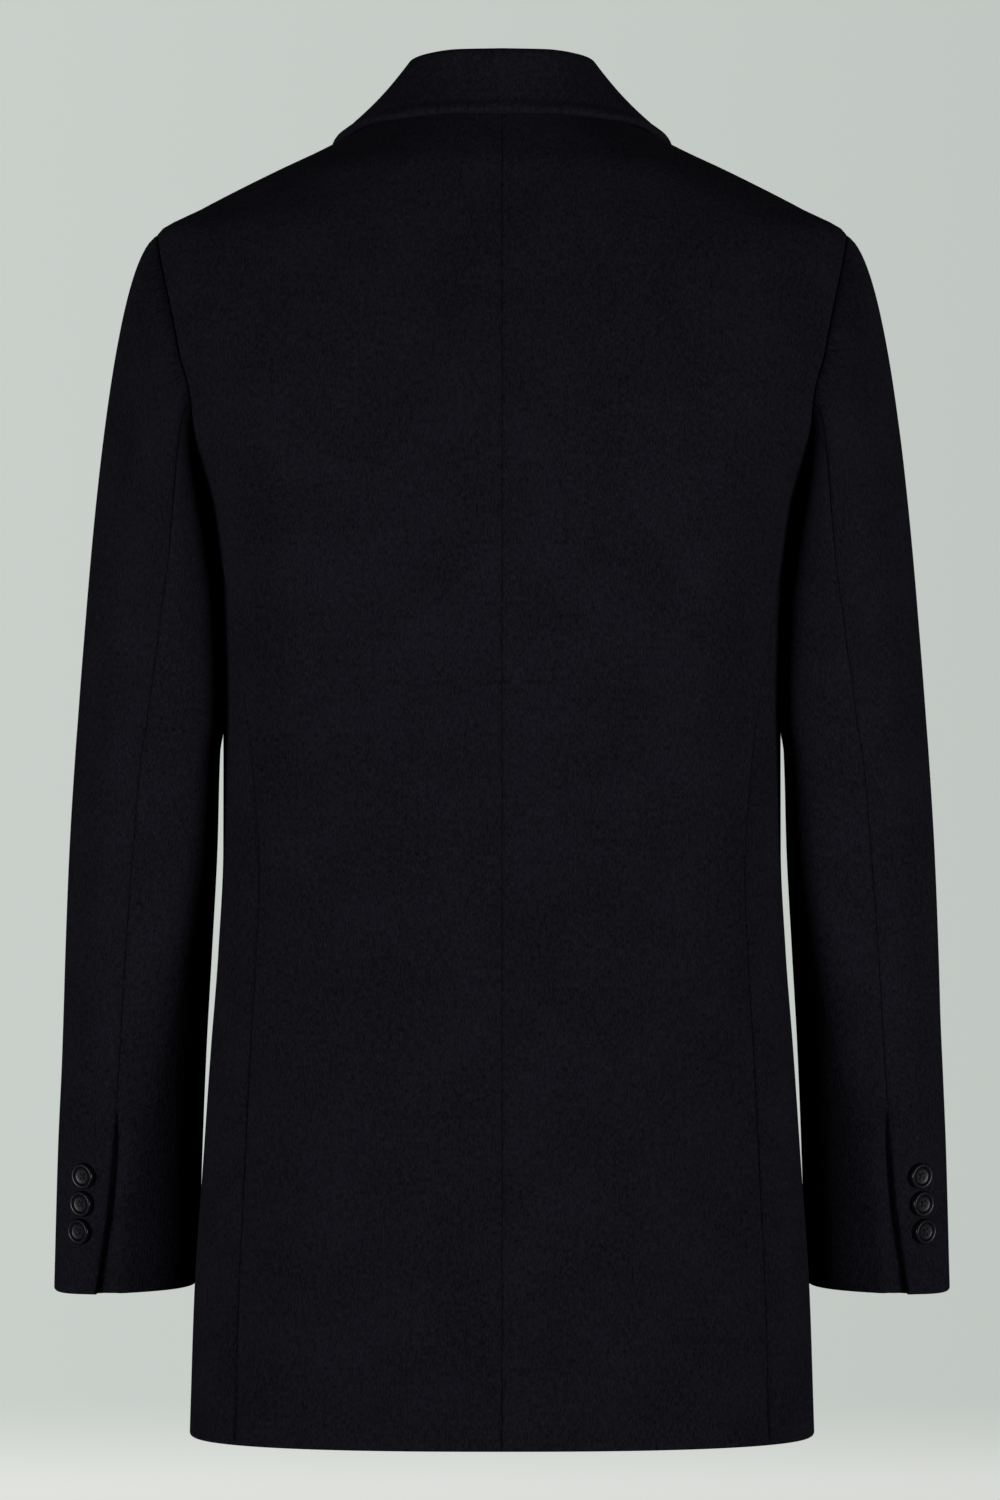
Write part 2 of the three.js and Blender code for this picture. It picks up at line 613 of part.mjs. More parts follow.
function collarFrame(place) {
  if (place === 1) return rollFrame(ROLL_TOP.z);
  const nudge = 0.01;
  const centre = foldAt(place);
  const way = foldAt(place + nudge).sub(place > nudge ? foldAt(place - nudge) : centre).normalize();
  const over = collarEdge(place).sub(centre);
  const across = over.addScaledVector(way, -over.dot(way)).normalize();
  return { centre, across, out: way.clone().cross(across).normalize() };
}

// The fall in straight lines from the fold to the edge, hollowed a little half way down.
function plainFall(place) {
  const frame = collarFrame(place);
  const top = foldPoint(frame, 1);
  const edge = collarEdge(place);
  return steps(FALL_STEPS).slice(1).map((t) => {
    const sag = COLLAR_HOLLOW * Math.sin(Math.PI * t) * smooth(1, COLLAR_ENDS_FROM, place);
    return top.clone().lerp(edge, t).addScaledVector(frame.out, -sag);
  });
}

// At its end the fall runs along the gorge to the notch, and from there out to the collar's own point.
const gorgeZ = (x) => mix(ROLL_TOP.z, LAPEL_EDGE[0].z, (x - ROLL_TOP.x) / (LAPEL_EDGE[0].x - ROLL_TOP.x));
const collarPoint = collarEdge(1);
const fallEnd = steps(FALL_STEPS).slice(1).map((t) => {
  const onGorge = Math.min((t * FALL_STEPS) / GORGE_STEPS, 1);
  const beyond = Math.max((t * FALL_STEPS - GORGE_STEPS) / (FALL_STEPS - GORGE_STEPS), 0);
  const x = mix(mix(ROLL_TOP.x, NOTCH_X, onGorge), collarPoint.x, beyond);
  return onFront(x, mix(gorgeZ(Math.min(x, NOTCH_X)), COLLAR_EDGE[COLLAR_EDGE.length - 1].z, beyond), RESTING);
});
const endShift = plainFall(1).map((p, j) => fallEnd[j].clone().sub(p));

function collarStation(place) {
  const frame = collarFrame(place);
  const { at, out: panelOut } = neckEdge(place);
  // The stand is upright round the neck and turns into the lapel's own fold at the gorge.
  const level = new THREE.Vector3(panelOut.x, panelOut.y, 0).normalize();
  const out = level.lerp(panelOut, smooth(COLLAR_ENDS_FROM, 1, place)).normalize();
  const nudge = 0.005;
  const ahead = neckEdge(Math.min(place + nudge, 1)).at;
  const behind = neckEdge(Math.abs(place - nudge)).at;
  if (place < nudge) behind.x = -behind.x;
  const offPanel = ahead.sub(behind).cross(out).normalize();
  const foot = at.clone().addScaledVector(offPanel, SEAM).addScaledVector(out, -FOLD.thickness);
  const top = foldPoint(frame, 0.5);
  const handle = foot.distanceTo(top) / 3;
  const stand = new THREE.CubicBezierCurve3(
    foot,
    foot.clone().addScaledVector(offPanel, handle),
    top.clone().addScaledVector(frame.out, -handle),
    top,
  ).getPoints(STAND_STEPS);
  const fold = steps(FOLD_STEPS).slice(1).map((t) => foldPoint(frame, mix(0.5, 1, t)));
  const weight = smooth(COLLAR_ENDS_FROM, 1, place);
  const fall = plainFall(place).map((p, j) => restOnBody(p.addScaledVector(endShift[j], weight)));
  return { points: [...stand, ...fold, ...fall], footOut: out.clone().negate() };
}

function collarWall() {
  const half = steps(COLLAR_STATIONS).map(collarStation);
  const over = new THREE.Vector3(-1, 1, 1);
  const otherHalf = half.slice(1).reverse().map(({ points, footOut }) => ({
    points: points.map((p) => p.clone().multiply(over)),
    footOut: footOut.clone().multiply(over),
  }));
  const stations = [...otherHalf, ...half];
  const rows = stations[0].points.map((_, j) => stations.map(({ points }) => points[j]));
  const out = gridNormals(rows);
  out[0] = stations.map(({ footOut }) => footOut);
  return wall(rows, out, FOLD.thickness);
}

// The front's buttons lie on the left front, over the right one.
const FRONT_BUTTON = { diameter: 28, thick: 4.4 };
const FRONT_BUTTONS = [-322, -432, -542];

const coat = new THREE.Group();
coat.add(piece("back_left", back, NAVY_WOOL));
coat.add(piece("back_right", mirrored(back), NAVY_WOOL));
coat.add(piece("front_left", leftFront, NAVY_WOOL));
coat.add(piece("front_right", mirrored(rightFront), NAVY_WOOL));
coat.add(piece("lapel_left", lapel(), NAVY_WOOL));
coat.add(piece("lapel_right", mirrored(lapel(underlap)), NAVY_WOOL));
coat.add(piece("collar", collarWall(), NAVY_WOOL));
coat.add(piece("sleeve_upper_left", upperSleeve, NAVY_WOOL));
coat.add(piece("sleeve_upper_right", mirrored(upperSleeve), NAVY_WOOL));
coat.add(piece("sleeve_under_left", underSleeve, NAVY_WOOL));
coat.add(piece("sleeve_under_right", mirrored(underSleeve), NAVY_WOOL));
CUFF_BUTTONS.forEach(({ down, turn }, i) => {
  const at = sleevePoint(turn, down);
  const out = sleeveNormal(turn, down);
  const disc = button(CUFF_BUTTON.diameter, CUFF_BUTTON.thick);
  coat.add(sewnOn(`cuff_button_left_${i + 1}`, disc, at, out));
  const over = new THREE.Vector3(-1, 1, 1);
  coat.add(sewnOn(`cuff_button_right_${i + 1}`, disc, at.clone().multiply(over), out.clone().multiply(over)));
});
FRONT_BUTTONS.forEach((z, i) => {
  const disc = button(FRONT_BUTTON.diameter, FRONT_BUTTON.thick);
  coat.add(sewnOn(`front_button_${i + 1}`, disc, bodyPoint(180, z), bodyNormal(180, z)));
});

export default coat;
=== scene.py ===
"""A winter coat: a short, single-breasted overcoat in navy-black wool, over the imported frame."""

import bpy
import numpy as np
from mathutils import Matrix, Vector


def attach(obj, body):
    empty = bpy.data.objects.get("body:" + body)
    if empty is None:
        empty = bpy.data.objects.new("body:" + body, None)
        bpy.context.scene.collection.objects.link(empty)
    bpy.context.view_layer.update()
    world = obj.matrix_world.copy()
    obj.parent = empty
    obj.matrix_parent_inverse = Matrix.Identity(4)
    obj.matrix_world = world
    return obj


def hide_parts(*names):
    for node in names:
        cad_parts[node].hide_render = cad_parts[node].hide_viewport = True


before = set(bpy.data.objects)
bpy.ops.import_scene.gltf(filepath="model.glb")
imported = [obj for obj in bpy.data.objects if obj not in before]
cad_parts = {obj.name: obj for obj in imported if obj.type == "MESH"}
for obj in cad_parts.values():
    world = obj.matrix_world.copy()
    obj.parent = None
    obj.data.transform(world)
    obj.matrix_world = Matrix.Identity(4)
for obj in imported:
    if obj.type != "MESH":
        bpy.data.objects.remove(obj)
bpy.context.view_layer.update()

# The studio. The coat is seen square from behind, from five metres away at the height of its waist, before
# a plain pale backdrop that is lighter at its foot. Two softboxes stand aside of the camera, so the outer
# sleeves are brightest and the gaps beside the body are black, and the room gives only a weak fill.
EYE = (0.0013, 5, -0.409)
SEEN_HEIGHT = 0.975
SENSOR = 36
BACKDROP = (0.560, 0.598, 0.565, 1)
BACKDROP_FOOT = (0.715, 0.735, 0.705, 1)
FOOT_SLOPES = (-0.083, -0.096)
LEFT_GAIN = {"slope": 0.065, "gain": 0.045}
FILL = 0.02
FLOOR_LEVEL = -1.35
FLOOR_HALF = 2.4

camera = bpy.data.objects.new("camera", bpy.data.cameras.new("camera"))
camera.data.sensor_width = SENSOR
camera.data.lens = SENSOR * EYE[1] / SEEN_HEIGHT
camera.location = EYE
camera.rotation_euler = (np.pi / 2, 0, np.pi)
bpy.context.scene.collection.objects.link(camera)
bpy.context.scene.camera = camera
bpy.context.scene.view_settings.view_transform = "Standard"


def node(tree, kind, sockets=(), **settings):
    """A shader node with its settings, and with each named socket set to a value or linked to another's
    output."""
    made = tree.nodes.new(kind)
    for key, value in settings.items():
        setattr(made, key, value)
    for key, value in dict(sockets).items():
        if isinstance(value, bpy.types.NodeSocket):
            tree.links.new(value, made.inputs[key])
        else:
            made.inputs[key].default_value = value
    return made


room = bpy.data.worlds.new("room")
bpy.context.scene.world = room
room.use_nodes = True
tree = room.node_tree
background = tree.nodes["Background"]
ray = node(tree, "ShaderNodeLightPath")
way = node(tree, "ShaderNodeTexCoord")
slopes = node(tree, "ShaderNodeSeparateXYZ", {"Vector": way.outputs["Generated"]})
at_foot = node(
    tree,
    "ShaderNodeMapRange",
    {"Value": slopes.outputs["Z"], "From Min": FOOT_SLOPES[0], "From Max": FOOT_SLOPES[1]},
    interpolation_type="SMOOTHSTEP",
)
shade = node(tree, "ShaderNodeMix", {"Factor": at_foot.outputs["Result"]}, data_type="RGBA")
shade.inputs[6].default_value = BACKDROP
shade.inputs[7].default_value = BACKDROP_FOOT
leftward = node(
    tree,
    "ShaderNodeMapRange",
    {"Value": slopes.outputs["X"], "From Min": -LEFT_GAIN["slope"], "From Max": LEFT_GAIN["slope"],
     "To Min": 1 - LEFT_GAIN["gain"], "To Max": 1 + LEFT_GAIN["gain"]},
)
strength = node(
    tree,
    "ShaderNodeMix",
    {"Factor": ray.outputs["Is Camera Ray"], "A": FILL, "B": leftward.outputs["Result"]},
)
tree.links.new(shade.outputs[2], background.inputs["Color"])
tree.links.new(strength.outputs[0], background.inputs["Strength"])

AIM = Vector((0, 0, -0.4))
for name, place, size, power in (
    ("left_softbox", (3.8, 3.15, -1.1), 1.4, 137),
    ("right_softbox", (-3.8, 3.15, -1.1), 1.4, 137),
):
    lamp = bpy.data.lights.new(name, "AREA")
    lamp.size = size
    lamp.energy = power
    light = bpy.data.objects.new(name, lamp)
    light.location = place
    light.rotation_euler = (AIM - light.location).to_track_quat("-Z", "Y").to_euler()
    bpy.context.scene.collection.objects.link(light)

floor_mesh = bpy.data.meshes.new("floor")
floor_mesh.from_pydata(
    [(x * FLOOR_HALF, y * FLOOR_HALF, FLOOR_LEVEL) for x, y in ((-1, -1), (1, -1), (1, 1), (-1, 1))],
    [],
    [(0, 1, 2, 3)],
)
floor = bpy.data.objects.new("floor", floor_mesh)
bpy.context.scene.collection.objects.link(floor)
pale_floor = bpy.data.materials.new("pale_floor")
pale_floor.use_nodes = True
pale_floor.node_tree.nodes["Principled BSDF"].inputs["Base Color"].default_value = BACKDROP
pale_floor.node_tree.nodes["Principled BSDF"].inputs["Roughness"].default_value = 0.9
floor_mesh.materials.append(pale_floor)

# The wool. A heavy woollen cloth, milled until its weave closes, then raised and pressed so that a short
# nap lies down the coat. Tufts of nap catch the light as short upright flecks on an almost black navy
# ground.
WOOL_GROUND = (0.0021, 0.0019, 0.0038, 1)
WOOL_TIPS = (0.0150, 0.0136, 0.0200, 1)
FLECK = {"across": 0.0011, "along": 0.0028}
TUFT = {"across": 0.0035, "along": 0.0060}
CLOUD = 0.045
NAP_HEIGHT = 0.0005


def group(name, inputs, outputs):
    """An empty shader node group with named sockets, and its two end nodes."""
    made = bpy.data.node_groups.new(name, "ShaderNodeTree")
    for socket, kind in inputs:
        made.interface.new_socket(socket, in_out="INPUT", socket_type=kind)
    for socket, kind in outputs:
        made.interface.new_socket(socket, in_out="OUTPUT", socket_type=kind)
    return made, made.nodes.new("NodeGroupInput"), made.nodes.new("NodeGroupOutput")


def noise_on(tree, vector, across, along_it, detail, roughness):
    """Soft noise whose spots are this wide and this long in metres, on a cloth map in metres."""
    sized = node(tree, "ShaderNodeMapping", {"Vector": vector, "Scale": (1 / across, 1 / along_it, 1)})
    spots = node(
        tree,
        "ShaderNodeTexNoise",
        {"Vector": sized.outputs["Vector"], "Scale": 1, "Detail": detail, "Roughness": roughness},
        noise_dimensions="2D",
    )
    return spots.outputs["Fac"]


nap, nap_in, nap_out = group(
    "raised_nap",
    [("Map", "NodeSocketVector"), ("Ground", "NodeSocketColor"), ("Tips", "NodeSocketColor")],
    [("Color", "NodeSocketColor"), ("Roughness", "NodeSocketFloat"), ("Height", "NodeSocketFloat")],
)
flecks = noise_on(nap, nap_in.outputs["Map"], FLECK["across"], FLECK["along"], 3, 0.6)
tufts = noise_on(nap, nap_in.outputs["Map"], TUFT["across"], TUFT["along"], 2, 0.5)
clouds = noise_on(nap, nap_in.outputs["Map"], CLOUD, CLOUD, 2, 0.5)
fine = node(nap, "ShaderNodeMapRange", {"Value": flecks, "From Min": 0.32, "From Max": 0.72, "To Max": 0.62})
wide = node(nap, "ShaderNodeMapRange", {"Value": tufts, "From Min": 0.3, "From Max": 0.7, "To Max": 0.24})
slow = node(nap, "ShaderNodeMapRange", {"Value": clouds, "From Min": 0.3, "From Max": 0.7, "To Max": 0.14})
both = node(nap, "ShaderNodeMath", {0: fine.outputs["Result"], 1: wide.outputs["Result"]}, operation="ADD")
lit = node(nap, "ShaderNodeMath", {0: both.outputs[0], 1: slow.outputs["Result"]}, operation="ADD")
cloth_colour = node(
    nap,
    "ShaderNodeMix",
    {"Factor": lit.outputs[0]},
    data_type="RGBA",
)
nap.links.new(nap_in.outputs["Ground"], cloth_colour.inputs[6])
nap.links.new(nap_in.outputs["Tips"], cloth_colour.inputs[7])
nap.links.new(cloth_colour.outputs[2], nap_out.inputs["Color"])
dull = node(nap, "ShaderNodeMapRange", {"Value": flecks, "To Min": 0.98, "To Max": 0.82})
nap.links.new(dull.outputs["Result"], nap_out.inputs["Roughness"])
nap.links.new(both.outputs[0], nap_out.inputs["Height"])

wool = bpy.data.materials.new("navy_black_wool")
wool.use_nodes = True
tree = wool.node_tree
surface = tree.nodes["Principled BSDF"]
cloth_map = node(tree, "ShaderNodeUVMap", uv_map="cloth")
wool_nap = node(
    tree,
    "ShaderNodeGroup",
    node_tree=nap,
)
tree.links.new(cloth_map.outputs["UV"], wool_nap.inputs["Map"])
wool_nap.inputs["Ground"].default_value = WOOL_GROUND
wool_nap.inputs["Tips"].default_value = WOOL_TIPS
raised = node(
    tree,
    "ShaderNodeBump",
    {"Height": wool_nap.outputs["Height"], "Strength": 0.8, "Distance": NAP_HEIGHT},
)
tree.links.new(wool_nap.outputs["Color"], surface.inputs["Base Color"])
tree.links.new(wool_nap.outputs["Roughness"], surface.inputs["Roughness"])
tree.links.new(raised.outputs["Normal"], surface.inputs["Normal"])
surface.inputs["Specular IOR Level"].default_value = 0.06
surface.inputs["Sheen Weight"].default_value = 0.012
surface.inputs["Sheen Roughness"].default_value = 0.45
surface.inputs["Sheen Tint"].default_value = (0.45, 0.47, 0.6, 1)

# The back. Two long panels of wool, joined down the middle by a plain pressed seam, cut to the shoulder and
# the armhole above and to a side seam that lies well round on the back. The hem is turned up, which doubles
# it.
MM = 0.001
NECK_TOP, SHOULDER_TIP, ARMHOLE_BOTTOM, BREAK_POINT, HEM = 0, -75, -254, -300, -853
CLOTH = 2.5
SEAM = {"wide": 2.8, "high": 1.0, "from_end": (4, 20)}
CELL = 4
ROUNDING = np.array([0, 0.05, 0.2, 0.45, 0.8, 1.25, 2.0, 3.2])
SIDE_SHARPENS = 28
LEVELS = [0, -21, -32, -45, -58, -75, -100, -150, -200, -227, -254, -292, -330, -409, -473, -539, -604, -669,
          -766, -853]
BODY = {
    "z": LEVELS,
    "half": [79, 119, 142.5, 169, 194, 223.5, 227.5, 228, 214, 200, 189, 185, 182.8, 181, 181, 184, 189, 193.7,
             200.4, 203],
    "soft": [79, 119, 142, 165, 184, 203, 217, 223, 210, 201, 194, 188, 184.5, 181.5, 181.3, 184, 189, 193.7,
             200.4, 203],
    "back": [64, 80, 87, 91, 95.5, 101.5, 109.5, 123, 130, 130.5, 129, 125, 120, 111, 111, 118, 125, 130, 134,
             136],
    "front": [-30, -50, -62, -73, -84, -95, -107, -124, -133, -136, -138, -138, -137, -135, -135, -137, -139,
              -141, -144, -146],
    "round_back": [2.3, 2.3, 2.35, 2.4, 2.45] + [2.5] * 15,
    "round_front": [2.1] * 7 + [2.15, 2.2, 2.2, 2.25, 2.3, 2.3, 2.35, 2.35] + [2.4] * 5,
}
RIDGE = {"z": [0, -75, -254, -330, -853], "y": [5, 5, 1, 0, 0]}
ARMHOLE_BACK = {
    "z": [-75, -81, -113, -152, -178, -201, -222, -238, -249, -254],
    "turn": [90, 85.2, 79, 74.1, 72.4, 74, 77, 80.5, 84, 87],
}
ARMHOLE_FRONT = {
    "z": [-75, -82, -105, -145, -185, -212, -233, -247, -254],
    "turn": [90, 94, 98.5, 103.5, 106.5, 106, 102.5, 95.5, 87],
}
SIDE_SEAM = {
    "z": [-254, -275, -305, -347, -455, -560, -703, -853],
    "turn": [87, 80, 74.8, 72, 66.7, 64.4, 63, 62.6],
}


def along(table, column, at, key="z"):
    """A smooth line through a table's rows: cubic pieces that take the harmonic mean of the slopes on each
    side of a row, and are level at a peak, so that the line never overshoots."""
    order = np.argsort(table[key])
    rows = np.array(table[key], float)[order]
    values = np.array(table[column], float)[order]
    at = np.clip(at, rows[0], rows[-1])
    i = np.clip(np.searchsorted(rows, at, side="right") - 1, 0, len(rows) - 2)
    gap = np.diff(rows)
    slope = np.diff(values) / gap
    before, after = slope[:-1], slope[1:]
    same_way = before * after > 0
    mean = np.where(same_way, 2 * before * after / np.where(same_way, before + after, 1), 0)
    tangent = np.concatenate([slope[:1], mean, slope[-1:]])
    t = (at - rows[i]) / gap[i]
    rise = t * t * (3 - 2 * t)
    bend = t * (1 - t) * gap[i]
    ends = values[i] * (1 - rise) + values[i + 1] * rise
    return ends + bend * (1 - t) * tangent[i] - bend * t * tangent[i + 1]


def mix(a, b, t):
    return a + (b - a) * t


def smooth(start, end, at):
    """From 0 to 1 between two places, level at both."""
    t = np.clip((at - start) / (end - start), 0, 1)
    return t * t * (3 - 2 * t)


def body_point(turn, z):
    """A squared ellipse at each level, deeper at the back than at the front. turn is 0 at the middle of the
    back, 90 at the wearer's left side and 180 at the middle of the front."""
    turn, z = np.broadcast_arrays(np.asarray(turn, float), np.asarray(z, float))
    s, c = np.sin(np.radians(turn)), np.cos(np.radians(turn))
    from_side = np.abs((turn + 360) % 180 - 90)
    half = mix(along(BODY, "half", z), along(BODY, "soft", z), smooth(2, SIDE_SHARPENS, from_side))
    ridge = along(RIDGE, "y", z)
    behind = c > 0
    depth = np.where(behind, along(BODY, "back", z) - ridge, ridge - along(BODY, "front", z))
    power = np.where(behind, along(BODY, "round_back", z), along(BODY, "round_front", z))
    reach = (np.abs(s / half) ** power + np.abs(c / depth) ** power) ** (-1 / power)
    return np.stack([reach * s, ridge + reach * c, z], -1)


def unit(vectors):
    return vectors / np.linalg.norm(vectors, axis=-1, keepdims=True)


def body_out(turn, z):
    """Straight out of the body: its slope upwards crossed with its slope round."""
    nudge = 0.5
    round_it = body_point(turn + nudge, z) - body_point(turn - nudge, z)
    up = body_point(turn, np.minimum(z + nudge, NECK_TOP)) - body_point(turn, np.maximum(z - nudge, HEM))
    return unit(np.cross(up, round_it))


def turn_on_body(points):
    return np.degrees(np.arctan2(points[..., 0], points[..., 1] - along(RIDGE, "y", points[..., 2])))


def lengths(grid, axis=1):
    """How far each point of a grid is from the first on its row, or with axis 0 on its column, along the
    cloth."""
    steps = np.linalg.norm(np.diff(grid[..., :3], axis=axis), axis=-1)
    return np.insert(np.cumsum(steps, axis), 0, 0, axis)


def respaced(grid, cell=CELL):
    """The same cloth on new columns: close together beside both edges, where it is rounded, and evenly
    spaced between. Each new point lies straight between the two old ones on either side of its place."""
    walked = lengths(grid)
    width = walked[:, -1:]
    near = ROUNDING * np.minimum(1, width / (3 * ROUNDING[-1]))
    share = np.linspace(0, 1, max(int(width.max() / cell), 4))[1:-1]
    middle = near[:, -1:] + (width - 2 * near[:, -1:]) * share
    places = np.concatenate([near, middle, width - near[:, ::-1]], 1)
    i = np.clip((walked[:, None, :] <= places[:, :, None]).sum(-1) - 1, 0, walked.shape[1] - 2)
    low, high = np.take_along_axis(walked, i, 1), np.take_along_axis(walked, i + 1, 1)
    t = np.clip((places - low) / np.maximum(high - low, 1e-9), 0, 1)[..., None]
    before = np.take_along_axis(grid, i[..., None], 1)
    after = np.take_along_axis(grid, i[..., None] + 1, 1)
    return mix(before, after, t)


def facing(grid):
    """Straight out of a grid whose rows run down and whose columns run left: up along it crossed with
    left."""
    up = -np.gradient(grid, axis=0)
    left = np.gradient(grid, axis=1)
    return unit(np.cross(up, left))


def folds(table, across, down):
    """Heights of soft creases: each runs straight between its ends, in millimetres across and down the
    cloth, is a bell shape across its width, and fades away at both ends."""
    height = np.zeros_like(across)
    for x0, z0, x1, z1, wide, high in zip(*table.values()):
        run = np.hypot(x1 - x0, z1 - z0)
        t = ((across - x0) * (x1 - x0) + (down - z0) * (z1 - z0)) / run**2
        aside = ((across - x0) * (z1 - z0) - (down - z0) * (x1 - x0)) / run
        height += high * np.exp(-((aside / wide) ** 2)) * smooth(0, 0.35, t) * smooth(1, 0.65, t)
    return height


def mirrored(grid):
    """The wearer's right for a grid made for the left, its columns still running left."""
    return grid[:, ::-1] * (-1, 1, 1)


def cloth(name, face, thick=CLOTH, top=None, grain=None):
    """A closed sheet whose outer side is the grid face. Its half thickness falls to nothing over a quarter
    circle at every edge, so that edges are round and seams are grooves, and the cloth sinks a little beside
    its side edges by SEAM. The edge at the top is drawn on to the line top. The cloth's map runs in metres
    from the column grain, or the middle one, and from the bottom row."""
    half = np.broadcast_to(np.asarray(thick, float) / 2, face.shape[:2])
    out = facing(face)
    across, down = lengths(face), lengths(face, 0)
    from_side = np.minimum(across, across[:, -1:] - across)
    from_end = np.minimum(down, down[-1:] - down)
    from_edge = np.minimum(from_side, from_end)
    sunk = SEAM["high"] * np.exp(-((from_side / SEAM["wide"]) ** 2)) * smooth(*SEAM["from_end"], from_end)
    middle = face - out * (half + sunk)[..., None]
    if top is not None:
        middle = middle + (top - middle[0]) * smooth(8, 0, down)[..., None]
    swell = (half * np.sqrt(1 - (1 - np.clip(from_edge / half, 0, 1)) ** 2))[..., None]
    rows, columns = half.shape
    front = np.arange(rows * columns).reshape(rows, columns)
    behind = front.copy()
    behind[1:-1, 1:-1] = rows * columns + np.arange((rows - 2) * (columns - 2)).reshape(rows - 2, columns - 2)
    points = np.concatenate([
        (middle + out * swell).reshape(-1, 3),
        (middle - out * swell)[1:-1, 1:-1].reshape(-1, 3),
    ])
    quads = [
        np.stack([side[:-1, :-1], side[:-1, 1:], side[1:, 1:], side[1:, :-1]], -1).reshape(-1, 4)[:, ::way]
        for side, way in ((front, 1), (behind, -1))
    ]
    quads = np.concatenate(quads)
    straight = columns // 2 if grain is None else grain
    on_cloth = np.stack([across - across[:, straight, None], down[-1:] - down], -1)
    on_cloth = np.concatenate([on_cloth.reshape(-1, 2), on_cloth[1:-1, 1:-1].reshape(-1, 2)]) * MM
    mesh = bpy.data.meshes.new(name)
    mesh.from_pydata((points * MM).tolist(), [], quads.tolist())
    mesh.uv_layers.new(name="cloth").data.foreach_set("uv", on_cloth[quads.ravel()].ravel())
    mesh.polygons.foreach_set("use_smooth", [True] * len(mesh.polygons))
    mesh.materials.append(wool)
    piece = bpy.data.objects.new(name, mesh)
    bpy.context.scene.collection.objects.link(piece)
    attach(piece, "root")
    return piece


PANEL_ROWS = np.unique(np.concatenate(
    [np.linspace(a, b, int((a - b) / CELL) + 2) for a, b in (
        (NECK_TOP, SHOULDER_TIP), (SHOULDER_TIP, ARMHOLE_BOTTOM), (ARMHOLE_BOTTOM, HEM))]
    + [NECK_TOP - ROUNDING, HEM + ROUNDING]
))[::-1]
HEM_DEPTH = 42
HEM_THICK = 4.6


def arm_edge(armhole, z):
    """The turn where a panel ends: at the shoulder seam, the armhole, then the side seam."""
    below = np.where(z >= ARMHOLE_BOTTOM, along(armhole, "turn", z), along(SIDE_SEAM, "turn", z))
    return np.where(z >= SHOULDER_TIP, 90, below)


def panel(start, end):
    """The body between two edges, each a turn at every level."""
    shares = np.linspace(0, 1, 260)
    turns = mix(start[:, None], end[:, None], shares)
    return respaced(body_point(turns, PANEL_ROWS[:, None]))


def hemmed(face):
    """Thickness of a panel: double in the turned-up hem."""
    return mix(CLOTH, HEM_THICK, smooth(HEM + HEM_DEPTH + 3, HEM + HEM_DEPTH - 3, face[..., 2]))


def pressed(face, across_mm, creases, wave):
    """A panel with its creases and a slow wave raised along its own normals."""
    z = face[..., 2]
    lift = folds(creases, across_mm, z)
    lift = lift + wave * np.sin(across_mm / 31 + z / 170) * np.sin(z / 83 + 1.3) * smooth(-120, -260, z)
    return face + facing(face) * lift[..., None]


BACK_CREASES = {
    "left": {
        "x0": [150, 118, 60, 128, 95],
        "z0": [-150, -190, -330, -420, -560],
        "x1": [128, 96, 92, 104, 122],
        "z1": [-400, -430, -560, -640, -845],
        "wide": [13, 17, 22, 20, 26],
        "high": [1.6, -1.1, 0.7, -0.9, 0.9],
    },
    "right": {
        "x0": [148, 121, 70, 118, 88],
        "z0": [-160, -200, -350, -400, -580],
        "x1": [130, 92, 84, 110, 112],
        "z1": [-390, -450, -520, -610, -845],
        "wide": [14, 16, 24, 19, 28],
        "high": [1.5, -1.0, 0.6, -1.0, 1.0],
    },
}
back_face = panel(np.zeros_like(PANEL_ROWS), arm_edge(ARMHOLE_BACK, PANEL_ROWS))
for side, turned, seam in (("left", lambda grid: grid, 0), ("right", mirrored, -1)):
    face = pressed(back_face, np.abs(back_face[..., 0]), BACK_CREASES[side], 0.5)
    back = cloth(f"back_{side}_cloth", turned(face), hemmed(turned(face)), grain=seam)
    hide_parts(f"back_{side}")

# The fronts. Each is one panel from the side seam to the front edge, with no dart or pocket. The left laps
# over the right by the depth of the button stand, and the right is sunk one wall below it there.
FRONT_OVERLAP = 22
FRONT_NECK = {"z": [0, -18, -42, -65, -80], "x": [68.5, 65, 56.5, 45, 33]}
ROLL_TOP = {"z": -80, "x": 33}
UNDERLAP = {"cloth": 3.3, "lapel": 10.5, "wide": 34, "clear": 75}


def front_turn(x, z):
    """The turn at which the front of the body is x from its middle."""
    half = along(BODY, "soft", z)
    depth = along(RIDGE, "y", z) - along(BODY, "front", z)
    power = along(BODY, "round_front", z)
    forward = depth * (1 - np.minimum(np.abs(x) / half, 1) ** power) ** (1 / power)
    return np.degrees(np.arctan2(x, -forward)) % 360


def front_edge_x(z):
    """How far a front's own edge is from the middle: neckline, roll line, then straight down."""
    roll = mix(ROLL_TOP["x"], -FRONT_OVERLAP, (ROLL_TOP["z"] - z) / (ROLL_TOP["z"] - BREAK_POINT))
    below = np.where(z >= BREAK_POINT, roll, -FRONT_OVERLAP)
    return np.where(z >= ROLL_TOP["z"], along(FRONT_NECK, "x", z), below)


def not_sunk(turn, z):
    return np.zeros(np.broadcast(turn, z).shape)


def underlap(turn, z):
    """How deep the right front lies under the left, and deeper behind the foot of the left lapel's roll."""
    lapel = smooth(-375, -315, z) * smooth(-115, -190, z)
    depth = mix(UNDERLAP["cloth"] * smooth(-100, -160, z), UNDERLAP["lapel"], lapel)
    return depth * smooth(UNDERLAP["clear"], UNDERLAP["wide"], body_point(turn, z)[..., 0])


